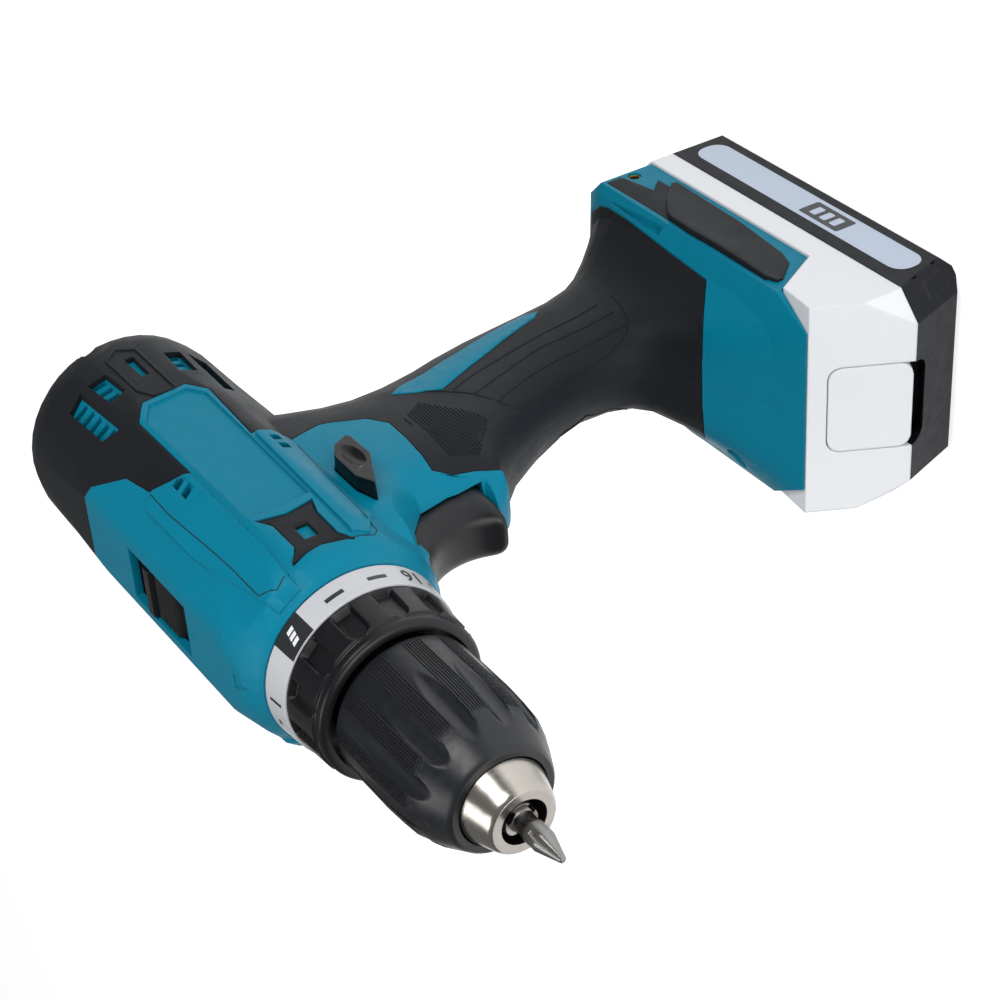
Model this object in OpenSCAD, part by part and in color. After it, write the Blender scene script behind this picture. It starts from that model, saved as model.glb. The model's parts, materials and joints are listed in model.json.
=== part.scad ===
/* [Overall] */
// Height of the spindle axis above the underside of the battery
axis_z = 216; // [212:0.5:222]
// Front face of the housing, forward of the origin
front_y = -66.5; // [-68:0.5:-65]

/* [Barrel] */
// Length of the motor barrel
barrel_len = 147; // [146:0.5:152]
// Distance from the axis to each of the eight flats
barrel_half = 31; // [31:0.1:32]
// Radius that rounds the corners between the flats
corner_r = 32.9; // [32.4:0.1:33.4]
// Radius of the rounded tail
tail_r = 15.5; // [12:0.5:18]
// Thickness of the moulded housing wall
wall = 2.4; // [2:0.1:2.6]
// Thickness of the soft overmould
skin = 1.8; // [1.2:0.1:2]

/* [Foot] */
// Half width of the foot
foot_half = 35.3; // [35:0.1:37]
// Rear face of the foot
foot_rear = 58; // [57:0.5:60]
// Front edge of the hood above the battery
hood_front = -49.8; // [-50.5:0.1:-49]
// Lower edge of the side skirts
skirt_z = 32.5; // [32.3:0.1:34]
// Shoulder height of the foot
shoulder_z = 52.3; // [52:0.1:54]
// Thickness of the skirts
skirt_t = 3.5; // [3:0.1:4]

/* [Clutch] */
// Radius of the scale band at the housing
band_r = 28.5; // [28:0.1:29]
// Length of the scale band
band_len = 9.8; // [9:0.1:10.5]
// Length of the ribbed ring in front of the band
ring_len = 16; // [15:0.1:17]
// Number of grip lobes on the ring
ring_lobes = 12; // [8:1:16]

/* [Chuck] */
// Distance from the housing to the front of the nose
nose_z = 79.2; // [78:0.1:81]
// Length of the steel nose in front of the sleeve
nose_len = 8.7; // [8:0.1:9.5]
// Largest opening of the jaws, as a radius
chuck_bore_r = 6.5; // [6.3:0.1:6.8]
// Radius of the sleeve at its rear edge
sleeve_r = 20.8; // [20:0.1:21.5]
// Number of scooped grips around the sleeve
sleeve_scoops = 6; // [4:1:8]
// Lean of the jaws to the spindle axis
jaw_lean = 15; // [14:0.5:16]
// Radius of a jaw
jaw_r = 3; // [2.6:0.1:3.1]
// Length of a jaw
jaw_len = 27; // [25:0.5:28]

/* [Bit] */
// Size of the hexagonal shank across its flats
bit_af = 6.35; // [6.35:0.05:6.5]
// Distance that the tip stands in front of the nose
bit_out = 16.4; // [14:0.1:20]
// Length of the bit
bit_len = 45; // [40:1:50]

/* [Gears] */
// Module of the first stage
mod_1 = 0.8; // [0.76:0.01:0.82]
// Module of the second and third stages
mod_2 = 0.9; // [0.86:0.01:0.92]
// Teeth of the motor pinion
sun_1 = 15;
// Teeth of each first planet
planet_1 = 15;
// Teeth of the second and third sun gears
sun_2 = 15;
// Teeth of each second and third planet
planet_2 = 12;
// Play between meshing teeth
backlash = 0.16; // [0.12:0.01:0.2]
// Pressure angle of the teeth
pressure = 25; // [22:0.5:26]

/* [Motor] */
// Radius of the motor can
can_r = 18.4; // [18:0.1:19]
// Length of the motor can
can_len = 57; // [55:0.5:58]
// Radius of the motor shaft
shaft_r = 1.6; // [1.5:0.05:1.8]

/* [Trigger and controls] */
// Travel of the trigger
trigger_travel = 7; // [5:0.5:7]
// Half width of the trigger
trigger_half = 9.6; // [9:0.1:9.8]
// Travel of the reversing lever
lever_travel = 5.5; // [4:0.5:6]
// Travel of the speed selector
speed_travel = 6; // [5:0.5:6]

/* [Battery] */
// Half width of the battery
battery_half = 36; // [35.8:0.1:37]
// Rear face of the battery
battery_rear = 57.5; // [57:0.1:59]
// Height of the dark lower case
case_z = 23.7; // [23:0.1:24.5]
// Wall of the battery case
battery_wall = 2.2; // [2:0.1:2.6]
// Radius of a cell
cell_r = 9.15; // [9:0.05:9.2]
// Length of a cell
cell_len = 65; // [64:0.5:66]
// Travel of the release button
release_travel = 4; // [3:0.5:4.5]

/* [Fasteners] */
// Radius of the housing screws
screw_r = 1.5; // [1.4:0.1:1.6]
// Radius of the thread in the side inserts
insert_r = 1.65; // [1.6:0.05:1.8]

/* [Hidden] */

teal = "#007fa0";
rubber = "#303338";
black = "#17191c";
steel = "#b9b4aa";
zinc = "#9a9c9f";

// Clearances: between parts that only lie near each other, and between running parts
gap = 0.3;
run = 0.05;
shell = wall + skin;
tiny = 0.02;

// ---- frames -------------------------------------------------------------
// Barrel frame: x to the tool's left, y up, z forward along the spindle from the housing's front face
module barrel_frame() translate([0, front_y, axis_z]) rotate([90, 0, 0]) children();
// A profile given as [y, z], extruded along x
module side_prism(x0, x1) translate([x0, 0, 0]) rotate([90, 0, 90]) linear_extrude(x1 - x0) children();
// The same for a profile given as [distance behind the housing's front, height over the axis]
module barrel_side(x0, x1)
    translate([0, front_y, axis_z]) side_prism(x0, x1) children();
// An upright tube with its wall from r0 to r1
module tube(r1, r0, h, sides = 96) difference() {
    cylinder(r = r1, h = h, $fn = sides);
    translate([0, 0, -1]) cylinder(r = r0, h = h + 2, $fn = sides);
}
module both_sides() { children(); mirror([1, 0, 0]) children(); }

function superellipse(a, b, n, count = 20) = [for (i = [0:count - 1])
    let (t = 360 * (i + 0.5) / count, c = cos(t), s = sin(t))
    [a * sign(c) * pow(abs(c), 2 / n), b * sign(s) * pow(abs(s), 2 / n)]];

// ---- outer form of the tool ----------------------------------------------
// Grip and neck sections: [z, front y, rear y, half width, squareness]
neck_z = axis_z - 216;
grip_sections = [
    [shoulder_z + 4.0, hood_front + 9, foot_rear - 4, foot_half - 5.7, 5],
    [shoulder_z + 8.2, hood_front + 18, foot_rear - 7.5, foot_half - 9.8, 4.5],
    [shoulder_z + 13.2, hood_front + 29.5, foot_rear - 11, foot_half - 13.8, 4],
    [shoulder_z + 19, hood_front + 40.5, foot_rear - 14.5, 18.4, 3.4],
    [shoulder_z + 26, -3.8, foot_rear - 17.5, 16.6, 3],
    [87, -2.2, 39, 15.8, 2.7],
    [97, -2.2, 38.2, 15.6, 2.6],
    [108, -5.5, 37, 15.8, 2.6],
    [120, -11, 35.6, 16.2, 2.6],
    [neck_z + 133, -18.5, 32.5, 17, 2.7],
    [neck_z + 142, -27, 30, 17.5, 2.8],
    [neck_z + 148, -35, 28.5, 18, 3],
    [neck_z + 155, -36, 26.5, 18.8, 3],
    [neck_z + 166, -35, 24.5, 20.2, 3],
    [neck_z + 176, -36.5, 24, 21.8, 3.2],
    [neck_z + 182, -43, 25, 22.8, 3.4],
    [neck_z + 188, -57, 27, 23.6, 3.6],
    [neck_z + 197, -61, 30, 24.2, 4]];

module section_slab(p, s) translate([0, (p[1] + p[2]) / 2, p[0]])
    linear_extrude(tiny) polygon(superellipse(p[3] - s, (p[2] - p[1]) / 2 - s, p[4]));

module foot_plan(s = 0) offset(delta = -s) polygon([
    [27.4, hood_front], [foot_half, hood_front + 13.7], [foot_half, foot_rear - 6],
    [foot_half - 6, foot_rear], [6 - foot_half, foot_rear], [-foot_half, foot_rear - 6],
    [-foot_half, hood_front + 13.7], [-27.4, hood_front]]);

// A solid through a stack of level rings with equal numbers of points
module loft(rings) {
    n = len(rings[0]);
    top = len(rings) - 1;
    polyhedron(points = [for (r = rings) each r], faces = concat([[for (i = [0:n - 1]) i]],
        [for (k = [0:top - 1]) for (i = [0:n - 1]) let (j = (i + 1) % n)
            each [[k * n + i, (k + 1) * n + j, k * n + j], [k * n + i, (k + 1) * n + i, (k + 1) * n + j]]],
        [[for (i = [n - 1:-1:0]) top * n + i]]), convexity = 8);
}
function section_ring(p, s) = [for (q = superellipse(p[3] - s, (p[2] - p[1]) / 2 - s, p[4]))
    [q[0], q[1] + (p[1] + p[2]) / 2, p[0]]];
module grip_form(s) {
    hull() {
        translate([0, 0, shoulder_z]) linear_extrude(tiny) foot_plan(s);
        section_slab(grip_sections[0], s);
    }
    loft([for (p = grip_sections) section_ring(p, s)]);
}
// The hollow inside the foot and grip, with fewer sections
module grip_hollow() {
    hull() {
        translate([0, 0, shoulder_z]) linear_extrude(tiny) foot_plan(shell);
        section_slab(grip_sections[0], shell);
    }
    top = len(grip_sections) - 1;
    loft([for (i = [0:2:top + 1]) section_ring(grip_sections[min(i, top)], shell)]);
}

// Small lip under the trigger
module trigger_lip(s) {
    sections = [[neck_z + 146.8 + s, -29.4, 10.8, 8.6, 2.5], [neck_z + 149.6, -30.6, 10.9, 11.2, 2.4],
        [neck_z + 152.6, -31, 10.1, 12.5, 2.3], [neck_z + 153.9, -28, 9, 8, 2.3]];
    for (i = [0:2]) hull() for (p = [sections[i], sections[i + 1]])
        translate([0, p[1], p[0]]) linear_extrude(tiny) polygon(superellipse(p[2] - s, p[3] - s, p[4]));
}

// Half outline of the barrel's turned envelope: [radius, z]
function barrel_outline(s, step) = concat(
    [[0, -s], [29 - s, -s], [30.2 - s, -1 - s], [corner_r - s, -16], [corner_r - s, -92],
     [corner_r - 1 - s, -112]],
    [for (a = [0:step:90]) [16 + (tail_r - s) * cos(a), -(barrel_len - tail_r) - (tail_r - s) * sin(a)]],
    [[0, -barrel_len + s]]);

module barrel_form(s, sides = 40, step = 22.5) barrel_frame() intersection() {
    translate([0, 0, -barrel_len]) rotate([0, 0, 22.5])
        cylinder(r = (barrel_half - s) / cos(22.5), h = barrel_len, $fn = 8);
    rotate_extrude($fn = sides) polygon(barrel_outline(s, step));
}

module tool_form(s) {
    barrel_form(s);
    grip_form(s);
    trigger_lip(s);
    translate([0, 0, skirt_z]) linear_extrude(shoulder_z - skirt_z + tiny) foot_plan(s);
}

// ---- where the hard housing shows, as [distance behind the front, height over the axis] ----
module hard_region_barrel() polygon([[-30, 40], [98, 40], [98, 31.8], [94, 29.4], [82.5, 23],
    [70.5, 21.6], [60.5, 12.6], [92, 12.8], [99.5, 8], [101, -6.2], [94.5, -10.4], [66.5, -9],
    [66.5, -21], [70, -31.5], [67, -45], [62, -49.5], [38.5, -49], [36, -54], [34.5, -64],
    [33, -76], [-30, -76]]);
// Given as [y, z]
module hard_region_foot() polygon([[80, 20], [80, 53], [52, 54.6], [-8.7, 56.8], [-18.5, 66],
    [-18.5, 90], [-80, 90], [-80, 20]]);
// Leaf of hard plastic down the back of the grip, as [x, z]
module back_leaf() polygon([[0, 174], [7, 168], [10.5, 152], [9.5, 132], [6, 114], [0, 107],
    [-6, 114], [-9.5, 132], [-10.5, 152], [-7, 168]]);

module hard_region(grow = 0) {
    barrel_side(-60, 60) offset(delta = grow) hard_region_barrel();
    side_prism(-60, 60) offset(delta = grow) hard_region_foot();
    translate([0, 60, 0]) rotate([90, 0, 0]) linear_extrude(48) offset(delta = grow) back_leaf();
}

// Air openings behind the barrel's flank, as [distance behind the front, height over the axis]
function flip(p) = [for (i = [len(p) - 1:-1:0]) [p[i][0], -p[i][1]]];
vent_outer = [[121.5, 22], [122.5, 17.2], [96.5, 16], [101, 21.2]];
vent_inner = [[122.5, 15], [121.5, 9.4], [109, 8.6], [108.5, 13.8]];
vent_middle = [[124, 2], [124, -0.8], [112.5, -0.6], [112.5, 1.8]];
vents = [vent_outer, vent_inner, vent_middle, flip(vent_inner), flip(vent_outer)];

module vent_openings(grow = 0) both_sides() barrel_side(15, 45)
    for (v = vents) offset(delta = grow) polygon(v);
// Slots between the louvres, in rows: [first, height of the row's middle, slots, length of a slot]
louvre_rows = [[101.3, 18.7, 5, 3.9], [112, 11.7, 3, 4.1]];
louvre_pitch = 4.5;
module louvre_slots() both_sides() barrel_side(15, 45) for (r = louvre_rows) for (k = [0:r[2] - 1]) for (s = [-1, 1])
    translate([r[0] + louvre_pitch * k, s * (r[1] + 0.12 * k)]) rotate(-12 * s) square([2.3, r[3] + 0.07 * (k % 2)], center = true);
// Exhaust slots in front, in pairs
module front_slots() both_sides() barrel_side(15, 45)
    for (p = [[56, 16.4], [61, 16.4], [56, -13.8], [61, -13.8]]) translate(p) square([3.2, 3], center = true);

// Bow-tie recess beside the clutch
module bow_tie(grow = 0) offset(delta = grow) polygon([[8, 11], [13, 7.5], [24, 7.5], [29.5, 10.5], [27.5, 1.5],
    [29, -7], [23, -5.2], [12.5, -5.2], [7.5, -8], [10, 1.5]]);
// Flat panel on each flank
module flank_panel() polygon([[32, 11], [90, 11.4], [97.5, 7], [99, -5.6], [93.5, -9], [32, -7.6], [30.5, 1.5]]);
// Raised ribs above and below the panel
module upper_rib() polygon([[2, 13.5], [59.5, 13.5], [69, 21.5], [64, 28], [2, 20.5]]);
module lower_rib() polygon([[10, -8.2], [65.5, -9.8], [65.5, -20.5], [20, -19.5], [9, -13]]);

// Housing screws: [y, z, depth of the seat on the right side, reach of the boss to each side]
screw_spots = [[-54, axis_z - 28.2, 12, 13.4], [11, axis_z - 29, 15, 18.6], [64, axis_z + 18, 15, 19.6],
    [64, axis_z - 18, 15, 19.6], [20, neck_z + 138, 9, 12], [8, 104, 8, 11.6], [30, shoulder_z + 13.7, 9, 16.8],
    [-24, shoulder_z + 5, 15, 21.8]];
boss_r = 3.3;
head_r = 2.8;
head_h = 2;

// Seat of the side inserts: centre of the threaded hole
insert_y = 48.8;
insert_z = 41.6;
insert_len = 6;
insert_or = 2.9;

// ---- housing ---------------------------------------------------------------
trigger_gap_z0 = neck_z + 154.2;
trigger_gap_z1 = neck_z + 185.2;
deck_z = shoulder_z - 2.8;

module bosses() difference() {
    for (p = screw_spots) translate([-p[3], p[0], p[1]]) rotate([0, 90, 0])
        cylinder(r = boss_r, h = 2 * p[3], $fn = 14);
    // the front boss keeps above the underside of the barrel
    translate([-50, front_y, axis_z - barrel_half - 4]) cube([100, 20, 4.4]);
}
module screw_holes() for (p = screw_spots) translate([0, p[0], p[1]]) {
    rotate([0, -90, 0]) cylinder(r = screw_r + 0.2, h = 60, $fn = 12);
    translate([-p[2], 0, 0]) rotate([0, -90, 0]) cylinder(r = head_r + 0.3, h = 60, $fn = 16);
    rotate([0, 90, 0]) cylinder(r = screw_r + 0.15, h = 13, $fn = 13);
}

// Ribs that hold the gear case and the motor
module cradle_ribs() intersection() {
    barrel_form(skin + 1, 16, 90);
    barrel_frame() {
        for (z = [-9, -41]) translate([0, 0, z]) tube(40, rib_bore(case_r), 2, rib_sides);
        for (z = [can_z1 - 7, can_z0 + 6]) translate([0, 0, z]) tube(40, rib_bore(can_r), 2.4, rib_sides);
    }
}
rib_sides = 21;
function rib_bore(r) = (r + 0.15) / cos(180 / rib_sides);

module housing_shell() {
    difference() {
        union() {
            intersection() { tool_form(0); hard_region(); }
            tool_form(skin + 0.05);
            intersection() {
                both_sides() barrel_side(20, barrel_half + 0.9) { upper_rib(); lower_rib(); }
                barrel_form(-0.9);
            }
        }
        // inside of the barrel and grip
        intersection() {
            union() { barrel_form(shell, 24, 45); grip_hollow(); }
            translate([-60, -90, shoulder_z - 0.3]) cube([120, 190, 220]);
        }
        // bay for the battery's slide
        translate([0, 0, 0]) linear_extrude(deck_z) offset(delta = -skirt_t) foot_plan();
        side_prism(-60, 60) polygon([[-90, 0], [-26.3, 0], [-26.3, skirt_z], [-36.1, shoulder_z - 1.9],
            [hood_front, shoulder_z - 0.4], [-90, shoulder_z - 0.4]]);
        barrel_frame() translate([0, 0, -wall - skin - 3]) cylinder(r = case_r + gap + 0.1, h = 20, $fn = 36);
        trigger_room();
        lever_room();
        speed_window();
        both_sides() {
            barrel_side(barrel_half - 0.7, 50) flank_panel();
            barrel_side(barrel_half - 1.5, 50) bow_tie();
        }
        louvre_slots();
        front_slots();
        terminal_window();
        // slim slit over the pad and pointer on the top
        both_sides() side_prism(31.3, 36) polygon([[46, 54.2], [18, 53], [18.2, 55.2]]);
        barrel_frame() translate([0, barrel_half - 0.4, 0]) rotate([-90, 0, 0])
            linear_extrude(2) polygon([[-2.6, 10.5], [2.6, 10.5], [0, 4.5]]);
    }
}

// Seat of the dark pad along the side of the foot; a plate around the insert stays free, as [y, z]
pad_rear = [[foot_rear - 6.5, 37.4], [foot_rear - 7.5, 51], [30, 50.7], [30, 37.3]];
pad_middle = [[30, 37.3], [30, 50.7], [2, 50.4], [2, 37.2]];
pad_front = [[2, 37.2], [2, 50.4], [-29, 50.6], [-24, 38.2]];
pad_plate = [[foot_rear, 37], [52.7, 37.4], [42, 37], [36.5, 43], [50, 45.6], [foot_rear, 45.6]];
module side_wedge() translate([foot_half - 1.6, 0, 0]) side_prism(0, 10) offset(delta = 0.1) difference() {
    union() { polygon(pad_rear); polygon(pad_middle); polygon(pad_front); }
    polygon(pad_plate);
}
module side_pad() translate([foot_half - 1.5, 0, 0]) difference() {
    union() {
        hull() {
            side_prism(0, 1.5) polygon(pad_rear);
            side_prism(0, 2.1) polygon([[foot_rear - 7.5, 38.4], [foot_rear - 9, 46.4], [30, 45], [30, 38.2]]);
        }
        hull() {
            side_prism(0, 1.5) polygon(pad_middle);
            side_prism(0, 2.1) polygon([[30, 38.2], [30, 45], [2, 44.8], [2, 38.2]]);
        }
        hull() {
            side_prism(0, 1.5) polygon(pad_front);
            side_prism(0, 2.1) polygon([[2, 38.2], [2, 44.8], [-25.5, 49], [-22.8, 39.2]]);
        }
    }
    side_prism(-1, 5) offset(delta = 0.2) polygon(pad_plate);
}

module insert_spots() both_sides() translate([foot_half - skirt_t - 3.2, insert_y, insert_z])
    rotate([0, 90, 0]) children();

module trigger_room() {
    translate([-trigger_half - 0.35, -80, trigger_gap_z0]) cube([2 * trigger_half + 0.7, 62, trigger_gap_z1 - trigger_gap_z0]);
}
module lever_room() barrel_side(-40, 40) offset(delta = gap) lever_outline();
module speed_window() barrel_frame() {
    translate([-window_half, 20, -window_z1]) cube([2 * window_half, 20, window_z1 - window_z0]);
    translate([-plate_half - gap, 20.7, -window_z1 - speed_travel - 1.5])
        cube([2 * (plate_half + gap), slider_y + 1.5 - 20.7, window_z1 - window_z0 + 2 * speed_travel + 4]);
    translate([-5 - gap, 20, -window_z0]) cube([10 + 2 * gap, slider_y + 1.5 - 20, window_z0 - 15]);
}
module terminal_window() translate([-20, 16, deck_z - 1]) cube([40, 24, 10]);

module half_space(side) translate([side > 0 ? 0 : -100, -200, -50]) cube([100, 400, 400]);

module housing_half(side) color(teal) difference() {
    intersection() {
        union() {
            housing_shell();
            cradle_ribs();
            bosses();
            insert_spots() cylinder(r = insert_or + 1.4, h = 5.4, $fn = 12);
            battery_rails();
        }
        half_space(side);
    }
    screw_holes();
    insert_spots() {
        translate([0, 0, -1]) cylinder(r = insert_or + 0.05, h = insert_len + 1, $fn = 24);
        cylinder(r = insert_r + 0.6, h = 20, $fn = 24);
    }
    lever_room();
    trigger_room();
    speed_window();
    both_sides() side_wedge();
}

rail_z0 = 36.3;
rail_z1 = 39.7;
rail_in = 25.5;
module battery_rails() both_sides() translate([rail_in, hood_front + 22, rail_z0])
    cube([foot_half - skirt_t - rail_in + 0.4, foot_rear - hood_front - 26, rail_z1 - rail_z0]);

module housing_left() housing_half(1);
module housing_right() housing_half(-1);

// ---- soft overmould --------------------------------------------------------
module soft_half(side) color(rubber) difference() {
    union() {
        difference() {
            intersection() { union() { barrel_form(0); grip_form(0); trigger_lip(0); } half_space(side); }
            tool_form(skin);
            hard_region(0.25);
            vent_openings();
            tail_window();
        }
        if (side > 0) side_pad(); else mirror([1, 0, 0]) side_pad();
    }
    screw_holes();
}
// Oval openings beside the tail
module tail_window() both_sides() translate([24.5, front_y + 140, axis_z + 4]) rotate([0, 45, 0])
    cylinder(r = 4, h = 14, center = true, $fn = 24);
module soft_grip_left() soft_half(1);
module soft_grip_right() soft_half(-1);

module housing_screws() color("#6b6d70") for (p = screw_spots) translate([-p[2], p[0], p[1]]) {
    rotate([0, 90, 0]) cylinder(r = screw_r, h = p[2] + 11.5, $fn = 32);
    rotate([0, -90, 0]) difference() {
        cylinder(r = head_r, h = head_h, $fn = 32);
        for (a = [0, 90]) rotate([0, 0, a]) translate([-1.9, -0.35, 0.9]) cube([3.8, 0.7, 3]);
    }
}

module side_inserts() color("#b08d45") insert_spots() difference() {
    cylinder(r = insert_or, h = insert_len, $fn = 48);
    translate([0, 0, -1]) cylinder(r = insert_r, h = insert_len + 2, $fn = 48);
}

// ---- gears -------------------------------------------------------------------
function involute(a) = tan(a) * 180 / PI - a;
// Half the angle of a tooth at radius r; play is the part of the backlash that it gives up
function half_tooth(r, z, m, play) = let (rp = m * z / 2, rb = rp * cos(pressure))
    90 / z - play / (2 * rp) * 180 / PI + involute(pressure) - involute(acos(min(1, rb / max(r, rb))));
function polar(r, a) = [r * cos(a), r * sin(a)];
// Outline of a toothed wheel with a tooth centred on the x axis
function wheel_outline(z, m, r_root, r_tip, play, steps = 4) = [for (i = [0:z - 1])
    let (c = 360 * i / z)
    for (k = [0:2 * steps + 1])
        let (j = k <= steps ? k : 2 * steps + 1 - k,
             r = r_root + (r_tip - r_root) * j / steps,
             h = half_tooth(r, z, m, play))
        polar(r, c + (k <= steps ? -h : h))];
module wheel(z, m) polygon(wheel_outline(z, m, m * z / 2 - 1.15 * m, m * z / 2 + 0.85 * m, backlash / 2));
// The opening of a ring gear, which is a wheel with wider teeth
module ring_opening(z, m) polygon(wheel_outline(z, m, m * z / 2 - 0.8 * m, m * z / 2 + 1.15 * m, -backlash / 2));

ring_1 = sun_1 + 2 * planet_1;
ring_2 = sun_2 + 2 * planet_2;
case_r = 24.8;
case_bore = 22.1;
pin_r = 2;

// Stations along the spindle, in front of the housing's front face
plate_z = -44;
stage_1_z = -41.4;
stage_1_len = 7;
carrier_1_z = -34;
stage_2_z = -29.4;
stage_2_len = 6.2;
carrier_2_z = -22.6;
stage_3_z = -14;
stage_3_len = 7;
carrier_3_z = -6.2;
shift_z = carrier_1_z + 0.1;
shift_len = 13;
can_z1 = plate_z - 5.6;
can_z0 = can_z1 - can_len;

module planet(z, m, orbit, angle, sun_teeth, z0, len) barrel_frame()
    rotate([0, 0, angle]) translate([orbit, 0, z0])
        rotate([0, 0, -angle + angle + 180 - 180 / z + angle * sun_teeth / z]) difference() {
            linear_extrude(len) wheel(z, m);
            translate([0, 0, -1]) cylinder(r = pin_r + run, h = len + 2, $fn = 48);
        }
orbit_1 = mod_1 * (sun_1 + planet_1) / 2;
orbit_2 = mod_2 * (sun_2 + planet_2) / 2;
module first_planet(a) color(zinc) planet(planet_1, mod_1, orbit_1, a, sun_1, stage_1_z, stage_1_len);
module planet_1a() first_planet(0);
module planet_1b() first_planet(120);
module planet_1c() first_planet(240);
module planets_2() color(zinc) for (a = [0, 120, 240])
    planet(planet_2, mod_2, orbit_2, a, sun_2, stage_2_z, stage_2_len);
module third_planet(a) color(zinc) planet(planet_2, mod_2, orbit_2, a, sun_2, stage_3_z, stage_3_len);
module planet_3a() third_planet(0);
module planet_3b() third_planet(120);
module planet_3c() third_planet(240);

function ring_turn(z_planet, z_ring) = 180 * (z_planet - 1) / z_ring;
module ring_blank(z_planet, z_ring, m, r_out, len) difference() {
    cylinder(r = r_out, h = len, $fn = 96);
    translate([0, 0, -1]) rotate([0, 0, ring_turn(z_planet, z_ring)])
        linear_extrude(len + 2) ring_opening(z_ring, m);
}
module ring_gear_1() color(steel) barrel_frame() translate([0, 0, stage_1_z - 0.3])
    ring_blank(planet_1, ring_1, mod_1, case_bore - run, stage_1_len + 0.5);
groove_z = 9.4;
groove_w = 1.7;
groove_r = 20.6;
module ring_gear_2() color(steel) barrel_frame() translate([0, 0, shift_z]) difference() {
    ring_blank(planet_2, ring_2, mod_2, case_bore - 0.15, shift_len);
    translate([0, 0, groove_z]) tube(30, groove_r, groove_w);
}
module ring_gear_3() color(steel) barrel_frame() translate([0, 0, stage_3_z - 0.3])
    ring_blank(planet_2, ring_2, mod_2, case_bore - run, stage_3_len + 0.6);

module pins(orbit, z0, len) for (a = [0, 120, 240]) rotate([0, 0, a]) translate([orbit, 0, z0])
    cylinder(r = pin_r, h = len, $fn = 48);
// Carries the first planets behind it and the second sun in front; its rim is toothed for the shift ring
module carrier_1() color(zinc) barrel_frame() difference() {
    union() {
        translate([0, 0, carrier_1_z]) rotate([0, 0, ring_turn(planet_2, ring_2)]) linear_extrude(3.2)
            polygon(wheel_outline(ring_2, mod_2, mod_2 * ring_2 / 2 - 0.95 * mod_2,
                mod_2 * ring_2 / 2 + 0.9 * mod_2, backlash / 2));
        pins(orbit_1, stage_1_z + 0.2, 8);
        translate([0, 0, carrier_1_z + 3]) linear_extrude(stage_2_len + 1.6) wheel(sun_2, mod_2);
    }
    translate([0, 0, carrier_1_z - 1]) cylinder(r = 2.4, h = 5, $fn = 32);
}
module carrier_2() color(zinc) barrel_frame() {
    translate([0, 0, carrier_2_z]) cylinder(r = 15.8, h = 3, $fn = 96);
    pins(orbit_2, stage_2_z + 0.3, 7);
    translate([0, 0, carrier_2_z + 2]) linear_extrude(stage_3_z + stage_3_len - carrier_2_z - 2.2) wheel(sun_2, mod_2);
}

nose_end = 23.5;
nose_r = 15.2;
bearing_z = 15.5;
bearing_or = 12;
bearing_ir = 6;
bearing_w = 6;
thread_r = 6.2;
module gear_case() color(black) barrel_frame() difference() {
    union() {
        translate([0, 0, plate_z + 2.2]) cylinder(r = case_r, h = -plate_z - 2.5, $fn = 96);
        translate([0, 0, -1]) cylinder(r = nose_r, h = nose_end + 1, $fn = 96);
    }
    translate([0, 0, plate_z]) cylinder(r = case_bore, h = -plate_z - 2.4, $fn = 96);
    translate([0, 0, -10]) cylinder(r = 8.5, h = 60, $fn = 96);
    translate([0, 0, bearing_z]) cylinder(r = bearing_or + tiny, h = 20, $fn = 96);
    // slots for the ends of the shift fork
    for (s = [-1, 1]) translate([s * 24 - 4, -fork_half_w, shift_z + groove_z - 0.3])
        cube([8, 2 * fork_half_w, groove_w + speed_travel + 0.6]);
}
module gear_case_plate() color(zinc) barrel_frame() translate([0, 0, plate_z]) difference() {
    cylinder(r = case_r, h = 2, $fn = 96);
    translate([0, 0, -1]) cylinder(r = 7.4, h = 5, $fn = 64);
    for (a = [45, 225]) rotate([0, 0, a]) translate([12.5, 0, -1]) cylinder(r = 1.6, h = 5, $fn = 32);
}

// ---- motor ---------------------------------------------------------------------
module motor_can() color(zinc) barrel_frame() translate([0, 0, can_z0]) difference() {
    union() {
        cylinder(r = can_r, h = can_len, $fn = 96);
        cylinder(r = 6.5, h = can_len + 3, $fn = 64);
    }
    translate([0, 0, -1]) cylinder(r = can_r - 1.4, h = can_len - 0.6, $fn = 96);
    translate([0, 0, can_len - 3]) cylinder(r = 5, h = 10, $fn = 64);
    for (a = [30:60:330]) rotate([0, 0, a]) translate([can_r - 4, -3, can_len - 9]) cube([8, 6, 5]);
}
module magnets() color("#3b3b3d") barrel_frame() translate([0, 0, can_z0 + 8]) difference() {
    tube(can_r - 1.4 - run, 13.6, 38);
    for (s = [-1, 1]) translate([-5, s * 16 - 8, -1]) cube([10, 16, 40]);
}
end_cap_h = 9;
module motor_end_cap() color(black) barrel_frame() translate([0, 0, can_z0 - end_cap_h + 3]) difference() {
    union() {
        translate([0, 0, end_cap_h - 3 - 4]) cylinder(r = can_r, h = 3.9, $fn = 96);
        translate([0, 0, end_cap_h - 4]) cylinder(r = can_r - 1.5, h = 4, $fn = 96);
        cylinder(r = 7.5, h = end_cap_h, $fn = 64);
    }
    translate([0, 0, 3]) cylinder(r = 5, h = 20, $fn = 64);
    translate([0, 0, -1]) cylinder(r = shaft_r + 0.3, h = 20, $fn = 32);
    for (a = [45:90:315]) rotate([0, 0, a]) translate([9, -2, -1]) cube([5, 4, 20]);
}
module motor_bushes() color("#a9803c") barrel_frame() {
    translate([0, 0, can_z0 + can_len - 2.9]) tube(5 - run, shaft_r + run, 5.8);
    translate([0, 0, can_z0 - end_cap_h + 6.1]) tube(5 - run, shaft_r + run, 5);
}
commutator_r = 5.6;
module brushes() color("#4a4a4a") barrel_frame() for (s = [-1, 1])
    translate([s > 0 ? commutator_r + 0.05 : -commutator_r - 7.05, -1.8, can_z0 + 4.2]) cube([7, 3.6, 5]);
shaft_back = can_z0 - end_cap_h + 3.4;
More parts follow.
